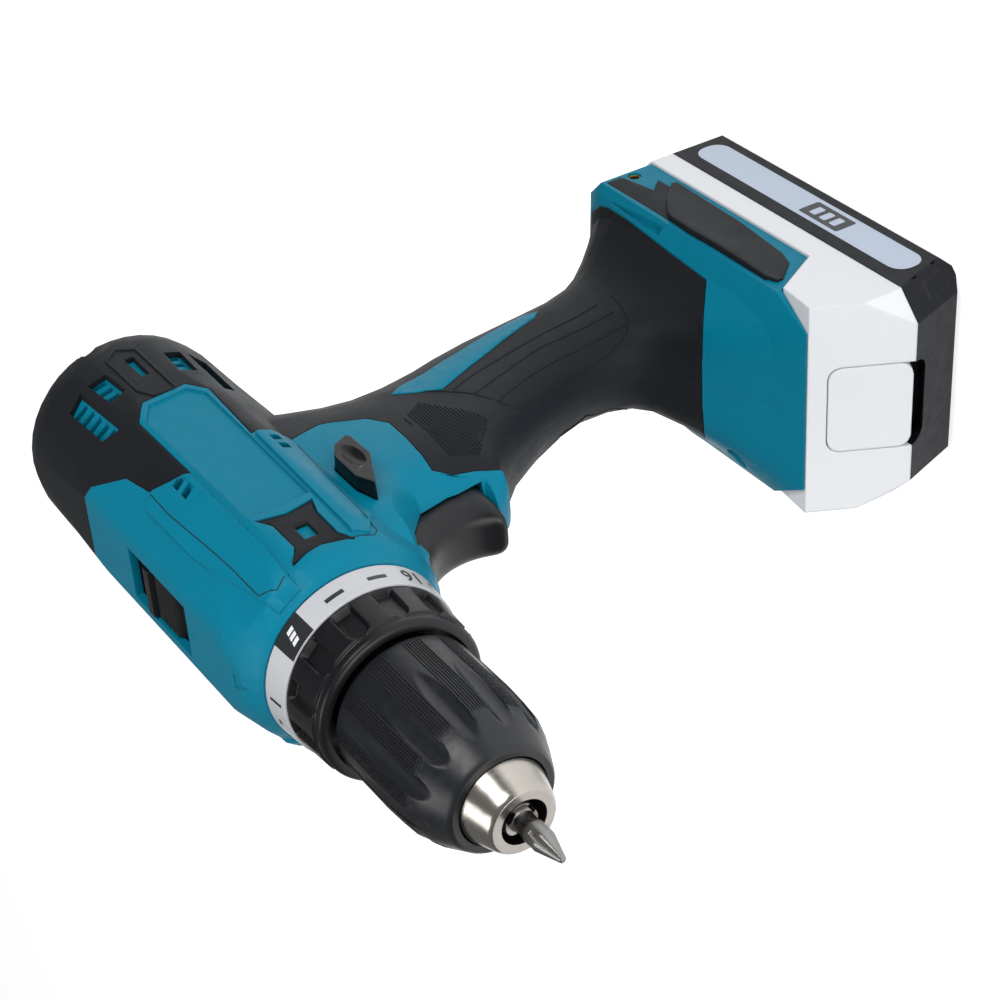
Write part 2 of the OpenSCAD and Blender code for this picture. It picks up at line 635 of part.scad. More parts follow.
module rotor_shaft() color(steel) barrel_frame() {
    translate([0, 0, shaft_back]) cylinder(r = shaft_r, h = stage_1_z + stage_1_len - shaft_back - 0.2, $fn = 64);
    translate([0, 0, stage_1_z - 1]) linear_extrude(stage_1_len + 0.7) wheel(sun_1, mod_1);
}
module armature() color("#7c4b2a") barrel_frame() translate([0, 0, can_z0 + 14]) difference() {
    union() {
        cylinder(r = 13, h = 27, $fn = 96);
        translate([0, 0, -3]) cylinder(r = 10.5, h = 33, $fn = 64);
    }
    translate([0, 0, -5]) cylinder(r = shaft_r + tiny, h = 40, $fn = 48);
    for (a = [0:72:359]) rotate([0, 0, a]) translate([11, -1, -1]) cube([4, 2, 29]);
}
module commutator() color("#b87333") barrel_frame() translate([0, 0, can_z0 + 3.4]) difference() {
    cylinder(r = commutator_r, h = 7, $fn = 64);
    translate([0, 0, -1]) cylinder(r = shaft_r + tiny, h = 20, $fn = 48);
    for (a = [0:72:359]) rotate([0, 0, a]) translate([commutator_r - 0.8, -0.2, -1]) cube([2, 0.4, 20]);
}
module motor_fan() color("#d8d4c8") barrel_frame() translate([0, 0, can_z0 + 47]) difference() {
    union() {
        cylinder(r = 4, h = 6, $fn = 48);
        cylinder(r = 13.5, h = 1, $fn = 64);
        for (a = [0:36:359]) rotate([0, 0, a]) translate([3, -0.4, 0]) cube([10, 0.8, 5]);
    }
    translate([0, 0, -1]) cylinder(r = shaft_r + tiny, h = 20, $fn = 48);
}

// ---- clutch ----------------------------------------------------------------------
module clutch_band() color("#c4c6cc") barrel_frame() translate([0, 0, gap]) rotate_extrude($fn = 144)
    polygon([[26.2, 0], [band_r, 0], [band_r - 1.5, band_len], [25.4, band_len]]);
ring_z = gap + band_len + tiny;
module clutch_ring() color(black) barrel_frame() translate([0, 0, ring_z]) difference() {
    rotate_extrude($fn = 144) polygon([[16.6, -4], [25.2, -4], [25.2, -0.02], [26.8, 0], [26.8, 11.2],
        [26.2, 11.8], [26.2, ring_len - 2], [24.4, ring_len], [21.6, ring_len], [21.6, 7], [16.6, 7]]);
    for (k = [0:ring_lobes - 1]) rotate([0, 0, 360 * (k + 0.5) / ring_lobes])
        translate([30.6, 0, -1]) cylinder(r = 5.2, h = 8.6, $fn = 32);
}
module helix(r, wire, pitch, turns, ring = 20, sides = 6) {
    count = floor(turns * ring);
    points = [for (i = [0:count]) for (k = [0:sides - 1]) let (a = 360 * i / ring, b = 360 * k / sides)
        [(r + wire * cos(b)) * cos(a), (r + wire * cos(b)) * sin(a), pitch * i / ring + wire * sin(b)]];
    faces = concat([[for (k = [sides - 1:-1:0]) k]],
        [for (i = [0:count - 1]) for (k = [0:sides - 1]) let (n = (k + 1) % sides)
            [i * sides + k, i * sides + n, (i + 1) * sides + n, (i + 1) * sides + k]],
        [[for (k = [0:sides - 1]) count * sides + k]]);
    polyhedron(points = points, faces = faces, convexity = 10);
}
module clutch_washer() color(steel) barrel_frame() translate([0, 0, 0.6]) tube(20.5, nose_r + 0.15, 1.2);
module clutch_spring() color("#8d9096") barrel_frame() translate([0, 0, 2.6])
    helix(18.2, 0.7, 1.75, 1.5, 18);

// ---- front bearing -----------------------------------------------------------------
module bearing_outer() color(steel) barrel_frame() translate([0, 0, bearing_z + tiny]) difference() {
    tube(bearing_or, 10.2, bearing_w);
    translate([0, 0, bearing_w / 2]) rotate_extrude($fn = 96) translate([9, 0]) circle(r = 1.75, $fn = 48);
}
module bearing_inner() color(steel) barrel_frame() translate([0, 0, bearing_z + tiny]) difference() {
    tube(7.9, bearing_ir + tiny, bearing_w);
    translate([0, 0, bearing_w / 2]) rotate_extrude($fn = 96) translate([9, 0]) circle(r = 1.75, $fn = 48);
}
module bearing_balls() color("#d9dbde") barrel_frame() for (a = [0:40:359]) rotate([0, 0, a])
    translate([9, 0, bearing_z + bearing_w / 2]) sphere(r = 1.7, $fn = 32);

// ---- chuck ---------------------------------------------------------------------------
chuck_rear = nose_end + 0.5;
module spindle() color(steel) barrel_frame() {
    translate([0, 0, carrier_3_z]) cylinder(r = 16.3, h = 3, $fn = 96);
    pins(orbit_2, stage_3_z + 0.2, 8.6);
    translate([0, 0, carrier_3_z]) cylinder(r = 8.2, h = bearing_z - carrier_3_z - 0.2, $fn = 64);
    difference() {
        cylinder(r = bearing_ir, h = 32, $fn = 64);
        translate([0, 0, 19]) cylinder(r = 2.5, h = 20, $fn = 48);
    }
}

sleeve_front = nose_z - nose_len;
grip_z = nose_z - 1.2;
// Distance of a jaw's axis from the spindle axis at height z
jaw_axis_r = bit_af / 2 + tiny - 1.5;
function jaw_axis_at(z) = jaw_axis_r + (grip_z - z) * tan(jaw_lean);
module jaw_place(angle) rotate([0, 0, angle]) translate([jaw_axis_r, 0, grip_z])
    rotate([0, 180 - jaw_lean, 0]) children();

nut_z0 = 53;
nut_z1 = 58;
module chuck_body() color(steel) barrel_frame() difference() {
    rotate_extrude($fn = 96) polygon([[0, chuck_rear], [13.5, chuck_rear], [13.5, 33], [17.6, 34], [17.6, nut_z0 - 0.1],
        [jaw_axis_at(nut_z0) + 0.6, nut_z0 - 0.1], [jaw_axis_at(nut_z1) + 0.6, nut_z1 + 0.1],
        [16, nut_z1 + 0.1], [15.4, 62], [12.6, sleeve_front - 1], [12.3, sleeve_front],
        [10, nose_z - 1.4], [9.6, nose_z - 0.6], [9, nose_z], [0, nose_z]]);
    translate([0, 0, chuck_rear - 1]) cylinder(r = bearing_ir + tiny, h = 32 - chuck_rear + 1.2, $fn = 64);
    translate([0, 0, 31]) cylinder(r = 2.9, h = 30, $fn = 48);
    translate([0, 0, 38]) cylinder(r = chuck_bore_r, h = 60, $fn = 64);
    for (a = [0, 120, 240]) jaw_place(a) translate([0, 0, -20]) cylinder(r = jaw_r + run, h = 62, $fn = 64);
}
module chuck_screw() color("#57595c") barrel_frame() {
    translate([0, 0, 20.5]) cylinder(r = 2.45, h = 18, $fn = 48);
    translate([0, 0, 38.05]) difference() {
        cylinder(r = 4.4, h = 3, $fn = 48);
        translate([0, 0, 1.2]) cylinder(r = 1.6, h = 5, $fn = 6);
    }
}
function sleeve_outline() = [[20.2, chuck_rear + 1], [sleeve_r, chuck_rear + 2], [sleeve_r, 46], [19.9, 59],
    [18.9, 62], [15.5, sleeve_front - 1], [14.6, sleeve_front - 0.2], [12.75, sleeve_front - 0.2],
    [12.75, sleeve_front - 1], [15.6, 62.6], [17.65, 58.4], [17.65, chuck_rear + 1]];
module chuck_sleeve() color(black) barrel_frame() difference() {
    rotate_extrude($fn = 144) polygon(sleeve_outline());
    for (k = [0:sleeve_scoops - 1]) rotate([0, 0, 360 * k / sleeve_scoops]) {
        translate([27.9, 0, 34]) rotate([0, -4, 0]) cylinder(r = 7.5, h = 40, $fn = 48);
        for (j = [-2:2]) rotate([0, 0, 180 / sleeve_scoops + 4.6 * j])
            translate([sleeve_r - 0.45, -0.35, 34]) cube([3, 0.7, 22]);
    }
}
module chuck_nut() color(steel) barrel_frame() difference() {
    translate([0, 0, nut_z0]) cylinder(r = 17.5, h = nut_z1 - nut_z0, $fn = 96);
    rotate_extrude($fn = 96) polygon([[0, nut_z0 - 1], [nut_inner(nut_z0 - 1), nut_z0 - 1],
        [nut_inner(nut_z1 + 1), nut_z1 + 1], [0, nut_z1 + 1]]);
}
function nut_inner(z) = jaw_axis_at(z) + (jaw_r + 0.2) / cos(jaw_lean);
module jaw(angle) color("#8a877f") barrel_frame() difference() {
    jaw_place(angle) difference() {
        translate([0, 0, 0.6]) cylinder(r = jaw_r, h = jaw_len - 0.6, $fn = 64);
        for (k = [0:12]) translate([-jaw_r - 1.5, -5, jaw_len - 1.5 - 1.5 * k]) cube([2, 10, 0.7]);
    }
    rotate([0, 0, angle]) translate([-50, -50, -100]) cube([50 + bit_af / 2 + tiny, 100, 400]);
}
module jaw_1() jaw(0);
module jaw_2() jaw(120);
module jaw_3() jaw(240);

bit_tip_z = nose_z + bit_out;
module driver_bit() color("#c9c8c4") barrel_frame() difference() {
    union() {
        translate([0, 0, bit_tip_z - bit_len]) rotate([0, 0, 30])
            cylinder(r = bit_af / 2 / cos(30), h = bit_len - 14, $fn = 6);
        rotate_extrude($fn = 64) polygon([[0, bit_tip_z - 15], [3, bit_tip_z - 15], [3, bit_tip_z - 13.5],
            [2.3, bit_tip_z - 12.5], [2.3, bit_tip_z - 9.5], [3.1, bit_tip_z - 8], [3.1, bit_tip_z - 4.5],
            [0.7, bit_tip_z], [0, bit_tip_z]]);
    }
    for (a = [0:90:270]) rotate([0, 0, a + 45]) translate([2.2, 0, bit_tip_z - 7.5]) rotate([0, -12, 0])
        rotate([0, 0, -45]) cube([5, 5, 14]);
}

// ---- trigger and controls ---------------------------------------------------------
trigger_back = -26;
module trigger() color(black) union() {
    intersection() {
        side_prism(-trigger_half, trigger_half) difference() {
            polygon([[trigger_back, trigger_gap_z0 + 0.4], [-45.5, trigger_gap_z0 + 0.4], [-50, trigger_gap_z0 + 2.5],
                [-52, trigger_gap_z0 + 6], [-55.6, trigger_gap_z1 - 5], [-56, trigger_gap_z1 - 2.4],
                [-53.5, trigger_gap_z1 - 1.3], [trigger_back, trigger_gap_z1 - 1.3]]);
            translate([-66, trigger_gap_z0 + 16]) circle(r = 17, $fn = 96);
        }
        translate([0, 0, 100]) linear_extrude(150) hull() {
            for (s = [-1, 1]) translate([s * (trigger_half - 5), -51]) circle(r = 5, $fn = 48);
            translate([-trigger_half, trigger_back - 1]) square([2 * trigger_half, 1]);
        }
    }
    translate([0, trigger_back - 1, plunger_z]) rotate([-90, 0, 0]) cylinder(r = 2.5, h = 15, $fn = 48);
}
plunger_z = neck_z + 168;
switch_half = 9.5;
module switch_case() color("#26282c") difference() {
    union() {
        translate([-switch_half, trigger_back + trigger_travel + 1.5, neck_z + 151]) cube([2 * switch_half, 29, 31]);
        translate([0, trigger_back + trigger_travel + 1.5, plunger_z]) rotate([90, 0, 0]) cylinder(r = 4, h = 0.8, $fn = 48);
    }
    translate([0, -40, plunger_z]) rotate([-90, 0, 0]) cylinder(r = 2.6, h = 36, $fn = 48);
}

lever_y0 = 28;
module lever_outline() polygon([[28.2, -25.6], [34, -23], [46, -23.2], [50.5, -26], [52.8, -30.6], [51.5, -31.6], [41, -31.7]]);
lever_out = 28.6;
lever_in = -23.4;
module reverse_lever() color(black) difference() {
    union() {
        barrel_side(20, lever_out) lever_outline();
        barrel_side(lever_in, -14.6) lever_outline();
        barrel_side(-20, 21) intersection() { lever_outline(); polygon([[33, -34], [50, -34], [50, -26], [33, -26]]); }
    }
    // thumb hollows in both ends
    translate([lever_out + 6.6, front_y + 43, axis_z - 27.4]) scale([1, 1.3, 0.6]) sphere(r = 8, $fn = 32);
    translate([lever_in - 6.6, front_y + 43, axis_z - 27.4]) scale([1, 1.3, 0.6]) sphere(r = 8, $fn = 32);
}

window_half = 8.5;
window_z0 = 35.5;
window_z1 = 69.5;
plate_half = 10.2;
slider_y = 27;
knob_z0 = 43;
knob_z1 = 62.7;
module speed_knob() color(black) barrel_frame() {
    translate([-plate_half, slider_y, -window_z1 - speed_travel - 1]) cube([2 * plate_half, 1.2, window_z1 - window_z0 + speed_travel + 2]);
    translate([-5, slider_y, -window_z0]) cube([10, 1.2, window_z0 + fork_z + 1.2]);
    translate([7.6, 0, 0]) rotate([0, -90, 0]) linear_extrude(15.2) polygon(concat(
        [[-knob_z1, slider_y + 1], [-knob_z1 + 1, slider_y + 3.6], [-knob_z1 + 3, slider_y + 4.6], [-knob_z1 + 6, slider_y + 4.6]],
        [for (k = [0:4]) each [[-knob_z1 + 6.5 + 2.4 * k, slider_y + 2.6], [-knob_z1 + 7.7 + 2.4 * k, slider_y + 3.4]]],
        [[-knob_z0 - 1, slider_y + 2.4], [-knob_z0, slider_y + 1]]));
}
fork_r = 0.7;
fork_half_w = 1.2;
fork_ring_r = case_r + 1;
fork_z = shift_z + groove_z + groove_w / 2;
module shift_fork() color("#8d9096") barrel_frame() translate([0, 0, fork_z]) {
    rotate_extrude(angle = 180, $fn = 96) translate([fork_ring_r, 0]) circle(r = fork_r, $fn = 24);
    for (s = [-1, 1]) translate([s * 21.2, 0, 0]) rotate([0, s * 90, 0]) cylinder(r = fork_r, h = fork_ring_r - 21.2, $fn = 24);
    translate([-3, case_r + 0.5, -0.6]) cube([6, slider_y - case_r - 0.5, 1.2]);
}

// ---- terminals between tool and battery -------------------------------------------
blade_x = 12;
module terminal_block() color("#c9a13a") {
    translate([-19.7, 16.3, deck_z + 0.2]) cube([39.4, 23.4, 6]);
    translate([-22, 14, shoulder_z + tiny]) cube([44, 28, 1.6]);
}
module terminal_blades() color("#c8b06a") for (s = [-1, 1])
    translate([s * blade_x - 0.4, 22, deck_z - 11]) cube([0.8, 14, 11.2]);

// ---- battery -------------------------------------------------------------------------
slide_half = foot_half - skirt_t - 1.3;
slide_top_half = foot_half - skirt_t - 3.6;
slide_top = deck_z - 0.5;
slide_rear = foot_rear - skirt_t - 0.6;
front_low = -58.1;
front_mid = -65.5;
module battery_plan(s = 0) offset(delta = -s) polygon([
    [27.4, front_mid], [battery_half, -57.7], [battery_half, battery_rear - 5], [battery_half - 5, battery_rear],
    [5 - battery_half, battery_rear], [-battery_half, battery_rear - 5], [-battery_half, -57.7], [-27.4, front_mid]]);
module battery_side(s = 0) offset(delta = -s) polygon([
    [front_low + 3, 0], [front_low - 0.8, 2.6], [front_mid, case_z], [hood_front - 0.3, shoulder_z - 0.7],
    [battery_rear, shoulder_z - 0.7], [battery_rear, 2.5], [battery_rear - 2, 0]]);
module battery_end(s = 0) offset(delta = -s) polygon([
    [3.2 - battery_half, 0], [-battery_half, 3.6], [-battery_half, 60], [battery_half, 60], [battery_half, 3.6], [battery_half - 3.2, 0]]);
module battery_form(s = 0) intersection() {
    linear_extrude(60) battery_plan(s);
    side_prism(-40, 40) battery_side(s);
    translate([0, 100, 0]) rotate([90, 0, 0]) linear_extrude(200) battery_end(s);
}
module cover_side(s = 0) offset(delta = -s) polygon([[-80, case_z], [80, case_z], [80, skirt_z - gap], [-26.6, skirt_z - gap],
    [-36.4, shoulder_z - 2.3], [hood_front - 0.3, shoulder_z - 0.7], [-80, shoulder_z - 0.7]]);
function slant_angle() = atan2(shoulder_z - 0.7 - case_z, front_mid - hood_front + 0.3);
// Frame on the sloped front face: x across, y up the slope, z out of the face
module slope_frame() translate([0, front_mid, case_z]) rotate([180 - slant_angle(), 0, 0]) children();
button_w = 29;
button_y0 = 0.6;
button_y1 = 25.8;
module button_outline(s = 0) translate([0, (button_y0 + button_y1) / 2]) offset(r = 4) offset(delta = -4 - s)
    square([button_w, button_y1 - button_y0], center = true);
// Room for the button, which sinks as it slides down
module button_sweep(s) hull() { button_outline(-s); translate([0, -release_travel]) button_outline(-s); }
module button_well() slope_frame() translate([0, 0, -11]) linear_extrude(14) button_sweep(gap);

module battery_case() color("#2b2d31") difference() {
    intersection() { battery_form(); translate([-50, -90, 0]) cube([100, 180, case_z]); }
    difference() {
        intersection() { battery_form(battery_wall); translate([-50, -90, battery_wall]) cube([100, 180, 60]); }
        slope_frame() translate([0, 0, -13.2]) linear_extrude(14) button_sweep(gap + battery_wall);
    }
    button_well();
    for (s = [-1, 1]) for (z = [7, 17]) translate([s * (battery_half + 0.9), -20, z]) rotate([90, 0, 0])
        cylinder(r = 1.5, h = 44, $fn = 32);
}
module battery_cover() color("#f4f6fa") difference() {
    intersection() {
        battery_form();
        union() {
            side_prism(-50, 50) cover_side();
            intersection() {
                translate([-slide_half, -34, case_z]) cube([2 * slide_half, slide_rear + 34, rail_z0 - gap - case_z]);
                linear_extrude(60) foot_plan(skirt_t + 1);
            }
            translate([-slide_top_half, -34, case_z]) cube([2 * slide_top_half, slide_rear + 34, slide_top - case_z]);
        }
        translate([-50, -90, case_z + tiny]) cube([100, 180, 60]);
    }
    difference() {
        intersection() {
            battery_form(battery_wall);
            union() {
                side_prism(-50, 50) cover_side(battery_wall);
                translate([battery_wall - rail_in, -34, 0]) cube([2 * (rail_in - battery_wall), slide_rear + 34 - battery_wall, slide_top - battery_wall]);
                translate([-50, -90, 0]) cube([100, 180, case_z + battery_wall]);
            }
        }
        slope_frame() translate([0, 0, -13.2]) linear_extrude(14) button_sweep(gap + battery_wall);
        translate([0, -47, 24]) cylinder(r = 5, h = 20, $fn = 48);
    }
    button_well();
    // seat of the spring, and room for the stem
    translate([0, -47, spring_z]) cylinder(r = 3.3, h = 20, $fn = 48);
    translate([-hook_half - 0.5, -60, stem_z - release_travel - 0.7]) cube([2 * hook_half + 1, 39.5, 4.1 + release_travel + 1.5]);
    // grooves for the tool's rails
    both_sides() translate([rail_in - gap, hood_front + 21.5, rail_z0 - gap])
        cube([10, 120, rail_z1 - rail_z0 + 2 * gap]);
    // slots for the tool's blades
    for (s = [-1, 1]) translate([s * blade_x - 1.6, 16, case_z + 6]) cube([3.2, 60, 40]);
    // opening for the latch
    translate([-hook_half - 0.5, -36.5, 34]) cube([2 * hook_half + 1, 16, 30]);
}
hook_half = 8;
stem_z = 36.5;
spring_z = 27;
module release_button() color("#eceff4") {
    slope_frame() translate([0, 0, -5]) linear_extrude(5.2) button_outline();
    // stem and latch behind the button
    side_prism(-hook_half, hook_half) polygon([[-53.4, stem_z + 4.1], [-53.4, stem_z], [-29, stem_z],
        [-29, deck_z - 0.6], [-33, deck_z - 0.6], [-35, deck_z - 3.4], [-35, stem_z + 4.1]]);
}
module release_spring() color("#8d9096") translate([0, -47, spring_z + 0.5]) helix(2.5, 0.45, 2.1, 4, 10);

cell_pitch = 2 * cell_r + 0.6;
cell_z = battery_wall + 1 + cell_r;
module at_cells() for (k = [-2:2]) translate([0, -2 + cell_pitch * k, cell_z]) rotate([0, 90, 0]) children();
module battery_cells() color("#3f6f52") at_cells() translate([0, 0, -cell_len / 2]) {
    cylinder(r = cell_r, h = cell_len, $fn = 64);
    translate([0, 0, cell_len - 0.5]) cylinder(r = 2.8, h = 1.3, $fn = 32);
}
module cell_holder() color("#202226") {
    for (s = [-1, 1]) difference() {
        translate([s * 25 - 1.5, -2 - 2.5 * cell_pitch - 1, battery_wall + 0.3])
            cube([3, 5 * cell_pitch + 2, case_z - battery_wall - 1]);
        at_cells() cylinder(r = cell_r + 0.1, h = 80, center = true, $fn = 64);
    }
    for (s = [-1, 1]) for (y = [-30, 30]) translate([s * 25 - 1.5, y - 2, case_z - 0.8]) cube([3, 4, 2]);
}
board_z = case_z + 1.25;
module battery_board() color("#1f5f3a") translate([-21, -29, board_z]) cube([42, 78, 1.6]);
module battery_contacts() color("#c8b06a") for (s = [-1, 1]) for (t = [-1, 1])
    translate([s * blade_x + t * 0.95 - 0.3, 20, board_z + 1.6 + tiny]) cube([0.6, 15, 16]);

housing_left();
housing_right();
soft_grip_left();
soft_grip_right();
housing_screws();
side_inserts();
gear_case();
gear_case_plate();
ring_gear_1();
ring_gear_2();
ring_gear_3();
planet_1a();
planet_1b();
planet_1c();
planets_2();
planet_3a();
planet_3b();
planet_3c();
carrier_1();
carrier_2();
motor_can();
magnets();
motor_end_cap();
motor_bushes();
brushes();
rotor_shaft();
armature();
commutator();
motor_fan();
clutch_band();
clutch_ring();
clutch_spring();
clutch_washer();
bearing_outer();
bearing_inner();
bearing_balls();
spindle();
chuck_body();
chuck_screw();
chuck_sleeve();
chuck_nut();
jaw_1();
jaw_2();
jaw_3();
driver_bit();
trigger();
switch_case();
reverse_lever();
speed_knob();
shift_fork();
terminal_block();
terminal_blades();
battery_case();
battery_cover();
release_button();
release_spring();
battery_cells();
cell_holder();
battery_board();
battery_contacts();
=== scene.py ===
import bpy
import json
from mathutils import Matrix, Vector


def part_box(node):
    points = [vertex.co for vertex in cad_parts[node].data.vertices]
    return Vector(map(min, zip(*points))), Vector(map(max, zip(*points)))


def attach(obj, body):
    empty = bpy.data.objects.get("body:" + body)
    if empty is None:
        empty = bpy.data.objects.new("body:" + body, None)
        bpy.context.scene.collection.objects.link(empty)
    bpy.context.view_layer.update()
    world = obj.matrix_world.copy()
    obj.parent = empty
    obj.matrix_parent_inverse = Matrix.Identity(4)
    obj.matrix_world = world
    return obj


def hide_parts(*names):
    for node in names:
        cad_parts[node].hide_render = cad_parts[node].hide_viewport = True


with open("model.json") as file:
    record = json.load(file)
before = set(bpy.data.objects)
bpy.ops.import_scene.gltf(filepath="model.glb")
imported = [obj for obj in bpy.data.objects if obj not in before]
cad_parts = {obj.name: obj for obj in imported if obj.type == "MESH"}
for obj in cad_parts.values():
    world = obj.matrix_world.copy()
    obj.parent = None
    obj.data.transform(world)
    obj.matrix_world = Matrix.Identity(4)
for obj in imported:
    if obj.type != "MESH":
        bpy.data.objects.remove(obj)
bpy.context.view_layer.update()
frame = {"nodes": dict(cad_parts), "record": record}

import json
import math
from contextlib import contextmanager
import bmesh
import bpy
from mathutils import Matrix, Vector
from mathutils.bvhtree import BVHTree

scene = bpy.context.scene
nodes = frame["nodes"]
slotOf = {row["node"]: row["material_slot"] for row in frame["record"]["subparts"]}
bodyOf = {}
for bodyName, members in frame["record"]["behaviour"]["bodies"].items():
    bodyOf.update({nodeName: bodyName for nodeName in members})
mm = 0.001
spindleHeight = round(sum(corner[2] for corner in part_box("clutch_band")) / 2, 4)   # it runs along -Y
frontFace = round(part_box("housing_left")[0][1], 4)   # front of the housing, where the scale band begins
flanks = ((1, "left"), (-1, "right"))   # the tool's left is +X


# finishes, mixed from procedural nodes

class TreeDraft:
    def __init__(self, tree):
        self.tree = tree

    def feed(self, socket, value):
        if isinstance(value, bpy.types.NodeSocket):
            self.tree.links.new(value, socket)
        else:
            socket.default_value = value

    def add(self, kind, settings=None, values=None):
        node = self.tree.nodes.new(kind)
        for key, value in (settings or {}).items():
            setattr(node, key, value)
        for key, value in (values or {}).items():
            self.feed(node.inputs[key], value)
        return node

    def math(self, operation, first, second=0.0, clamp=False):
        settings = {"operation": operation, "use_clamp": clamp}
        return self.add("ShaderNodeMath", settings, {0: first, 1: second}).outputs[0]


class ShaderDraft(TreeDraft):
    def __init__(self, name):
        self.material = bpy.data.materials.new(name)
        self.material.use_nodes = True
        super().__init__(self.material.node_tree)
        self.tree.nodes.clear()
        self.shader = self.add("ShaderNodeBsdfPrincipled")
        self.add("ShaderNodeOutputMaterial", None, {"Surface": self.shader.outputs[0]})
        self.coords = self.add("ShaderNodeTexCoord").outputs["Object"]

    def shade(self, values):
        for key, value in values.items():
            self.feed(self.shader.inputs[key], value)

    def stretched(self, scale):
        return self.add("ShaderNodeMapping", None, {"Vector": self.coords, "Scale": scale}).outputs[0]

    def noise(self, size, detail=2.0, roughness=0.5, coords=None):
        values = {"Vector": coords or self.coords, "Scale": 1 / size,
                  "Detail": detail, "Roughness": roughness}
        return self.add("ShaderNodeTexNoise", None, values).outputs["Fac"]

    def remap(self, value, low, high, toLow, toHigh):
        values = {"Value": value, "From Min": low, "From Max": high, "To Min": toLow, "To Max": toHigh}
        return self.add("ShaderNodeMapRange", {"clamp": True}, values).outputs[0]

    def blendColour(self, factor, first, second):
        return self.add("ShaderNodeMix", {"data_type": "RGBA"}, {0: factor, 6: first, 7: second}).outputs[2]

    def rounded(self, radius):
        return self.add("ShaderNodeBevel", {"samples": 6}, {"Radius": radius}).outputs[0]

    def bump(self, height, depth, normal=None):
        values = {"Height": height, "Strength": 1.0, "Distance": depth}
        if normal is not None:
            values["Normal"] = normal
        return self.add("ShaderNodeBump", None, values).outputs[0]


def tint(colour, factor):
    return tuple(min(1.0, c * factor) for c in colour[:3]) + (1.0,)


def edgeWearAndHighlightMask(draft, roundedNormal, threshold=0.03):   # 1 on edges, where the rounded normal turns away: scuffed edges and a painted edge highlight
    facing = draft.add("ShaderNodeNewGeometry").outputs["Normal"]
    dot = draft.add("ShaderNodeVectorMath", {"operation": "DOT_PRODUCT"}, {0: roundedNormal, 1: facing})
    return draft.remap(dot.outputs["Value"], 1 - threshold, 1 - 6 * threshold, 0.0, 1.0)


def plasticFinish(name, colour, roughness=0.45, grain=0.5 * mm, depth=0.03 * mm, edge=0.4 * mm,
                  mottle=0.06, wearAndHighlight=0.15, coat=0.0, specular=0.25):
    draft = ShaderDraft(name)
    rounding = draft.rounded(edge)
    cloud = draft.noise(9 * mm, 4.0, 0.6)
    base = draft.blendColour(cloud, tint(colour, 1 - mottle), tint(colour, 1 + mottle))
    specks = draft.remap(draft.noise(0.9 * mm, 3.0), 0.35, 0.65, 0.0, 1.0)
    # lighter edges in patches: partly scuffing, partly a painted highlight along the edges
    edgeWearAndHighlight = draft.math("MULTIPLY", draft.math("MULTIPLY", edgeWearAndHighlightMask(draft, rounding), specks), wearAndHighlight, True)
    wearAndHighlightColour = tuple(0.55 * c + 0.25 for c in colour[:3]) + (1.0,)
    gloss = draft.noise(3.5 * mm, 5.0, 0.65)
    pits = draft.noise(grain, 3.0, 0.55)
    draft.shade({"Base Color": draft.blendColour(edgeWearAndHighlight, base, wearAndHighlightColour),
                 "Roughness": draft.remap(gloss, 0.3, 0.7, roughness - 0.06, roughness + 0.07),
                 "Normal": draft.bump(pits, depth, rounding), "Specular IOR Level": specular,
                 "Coat Weight": coat, "Coat Roughness": 0.12})
    return draft.material


def rubberFinish(name, colour, roughness=0.72, pebble=0.7 * mm, depth=0.07 * mm, edge=0.5 * mm, dust=0.2):
    draft = ShaderDraft(name)
    rounding = draft.rounded(edge)
    pebbles = {"Vector": draft.coords, "Scale": 1 / pebble, "Smoothness": 0.6}
    cells = draft.add("ShaderNodeTexVoronoi", {"feature": "SMOOTH_F1"}, pebbles).outputs["Distance"]
    fine = draft.noise(0.25 * mm, 2.0)
    height = draft.math("ADD", draft.math("MULTIPLY", cells, -0.8), draft.math("MULTIPLY", fine, 0.35))
    cloud = draft.noise(14 * mm, 4.0, 0.6)
    base = draft.blendColour(cloud, tint(colour, 0.9), tint(colour, 1.12))
    dusty = draft.math("MULTIPLY", draft.remap(cells, 0.1, 0.6, 0.0, 1.0), dust, True)
    draft.shade({"Base Color": draft.blendColour(dusty, base, tint(colour, 1.7)),
                 "Roughness": draft.remap(cloud, 0.3, 0.7, roughness - 0.05, roughness + 0.06),
                 "Normal": draft.bump(height, depth, rounding), "Specular IOR Level": 0.16,
                 "Sheen Weight": 0.02, "Sheen Roughness": 0.5})
    return draft.material


def metalFinish(name, colour, roughness=0.3, lines=(1.0, 14.0, 1.0), lineSize=2.2 * mm, depth=0.01 * mm,
                edge=0.2 * mm, stain=0.12, metallic=1.0):
    draft = ShaderDraft(name)
    rounding = draft.rounded(edge)
    turned = draft.noise(lineSize, 6.0, 0.7, draft.stretched(lines))
    cloud = draft.noise(6 * mm, 4.0, 0.6)
    base = draft.blendColour(cloud, tint(colour, 1 - stain), tint(colour, 1 + stain))
    streaks = draft.remap(turned, 0.3, 0.7, 0.0, 0.5)
    draft.shade({"Base Color": draft.blendColour(streaks, base, tint(colour, 0.8)),
                 "Roughness": draft.remap(turned, 0.25, 0.75, roughness - 0.08, roughness + 0.1),
                 "Normal": draft.bump(turned, depth, rounding), "Metallic": metallic})
    return draft.material


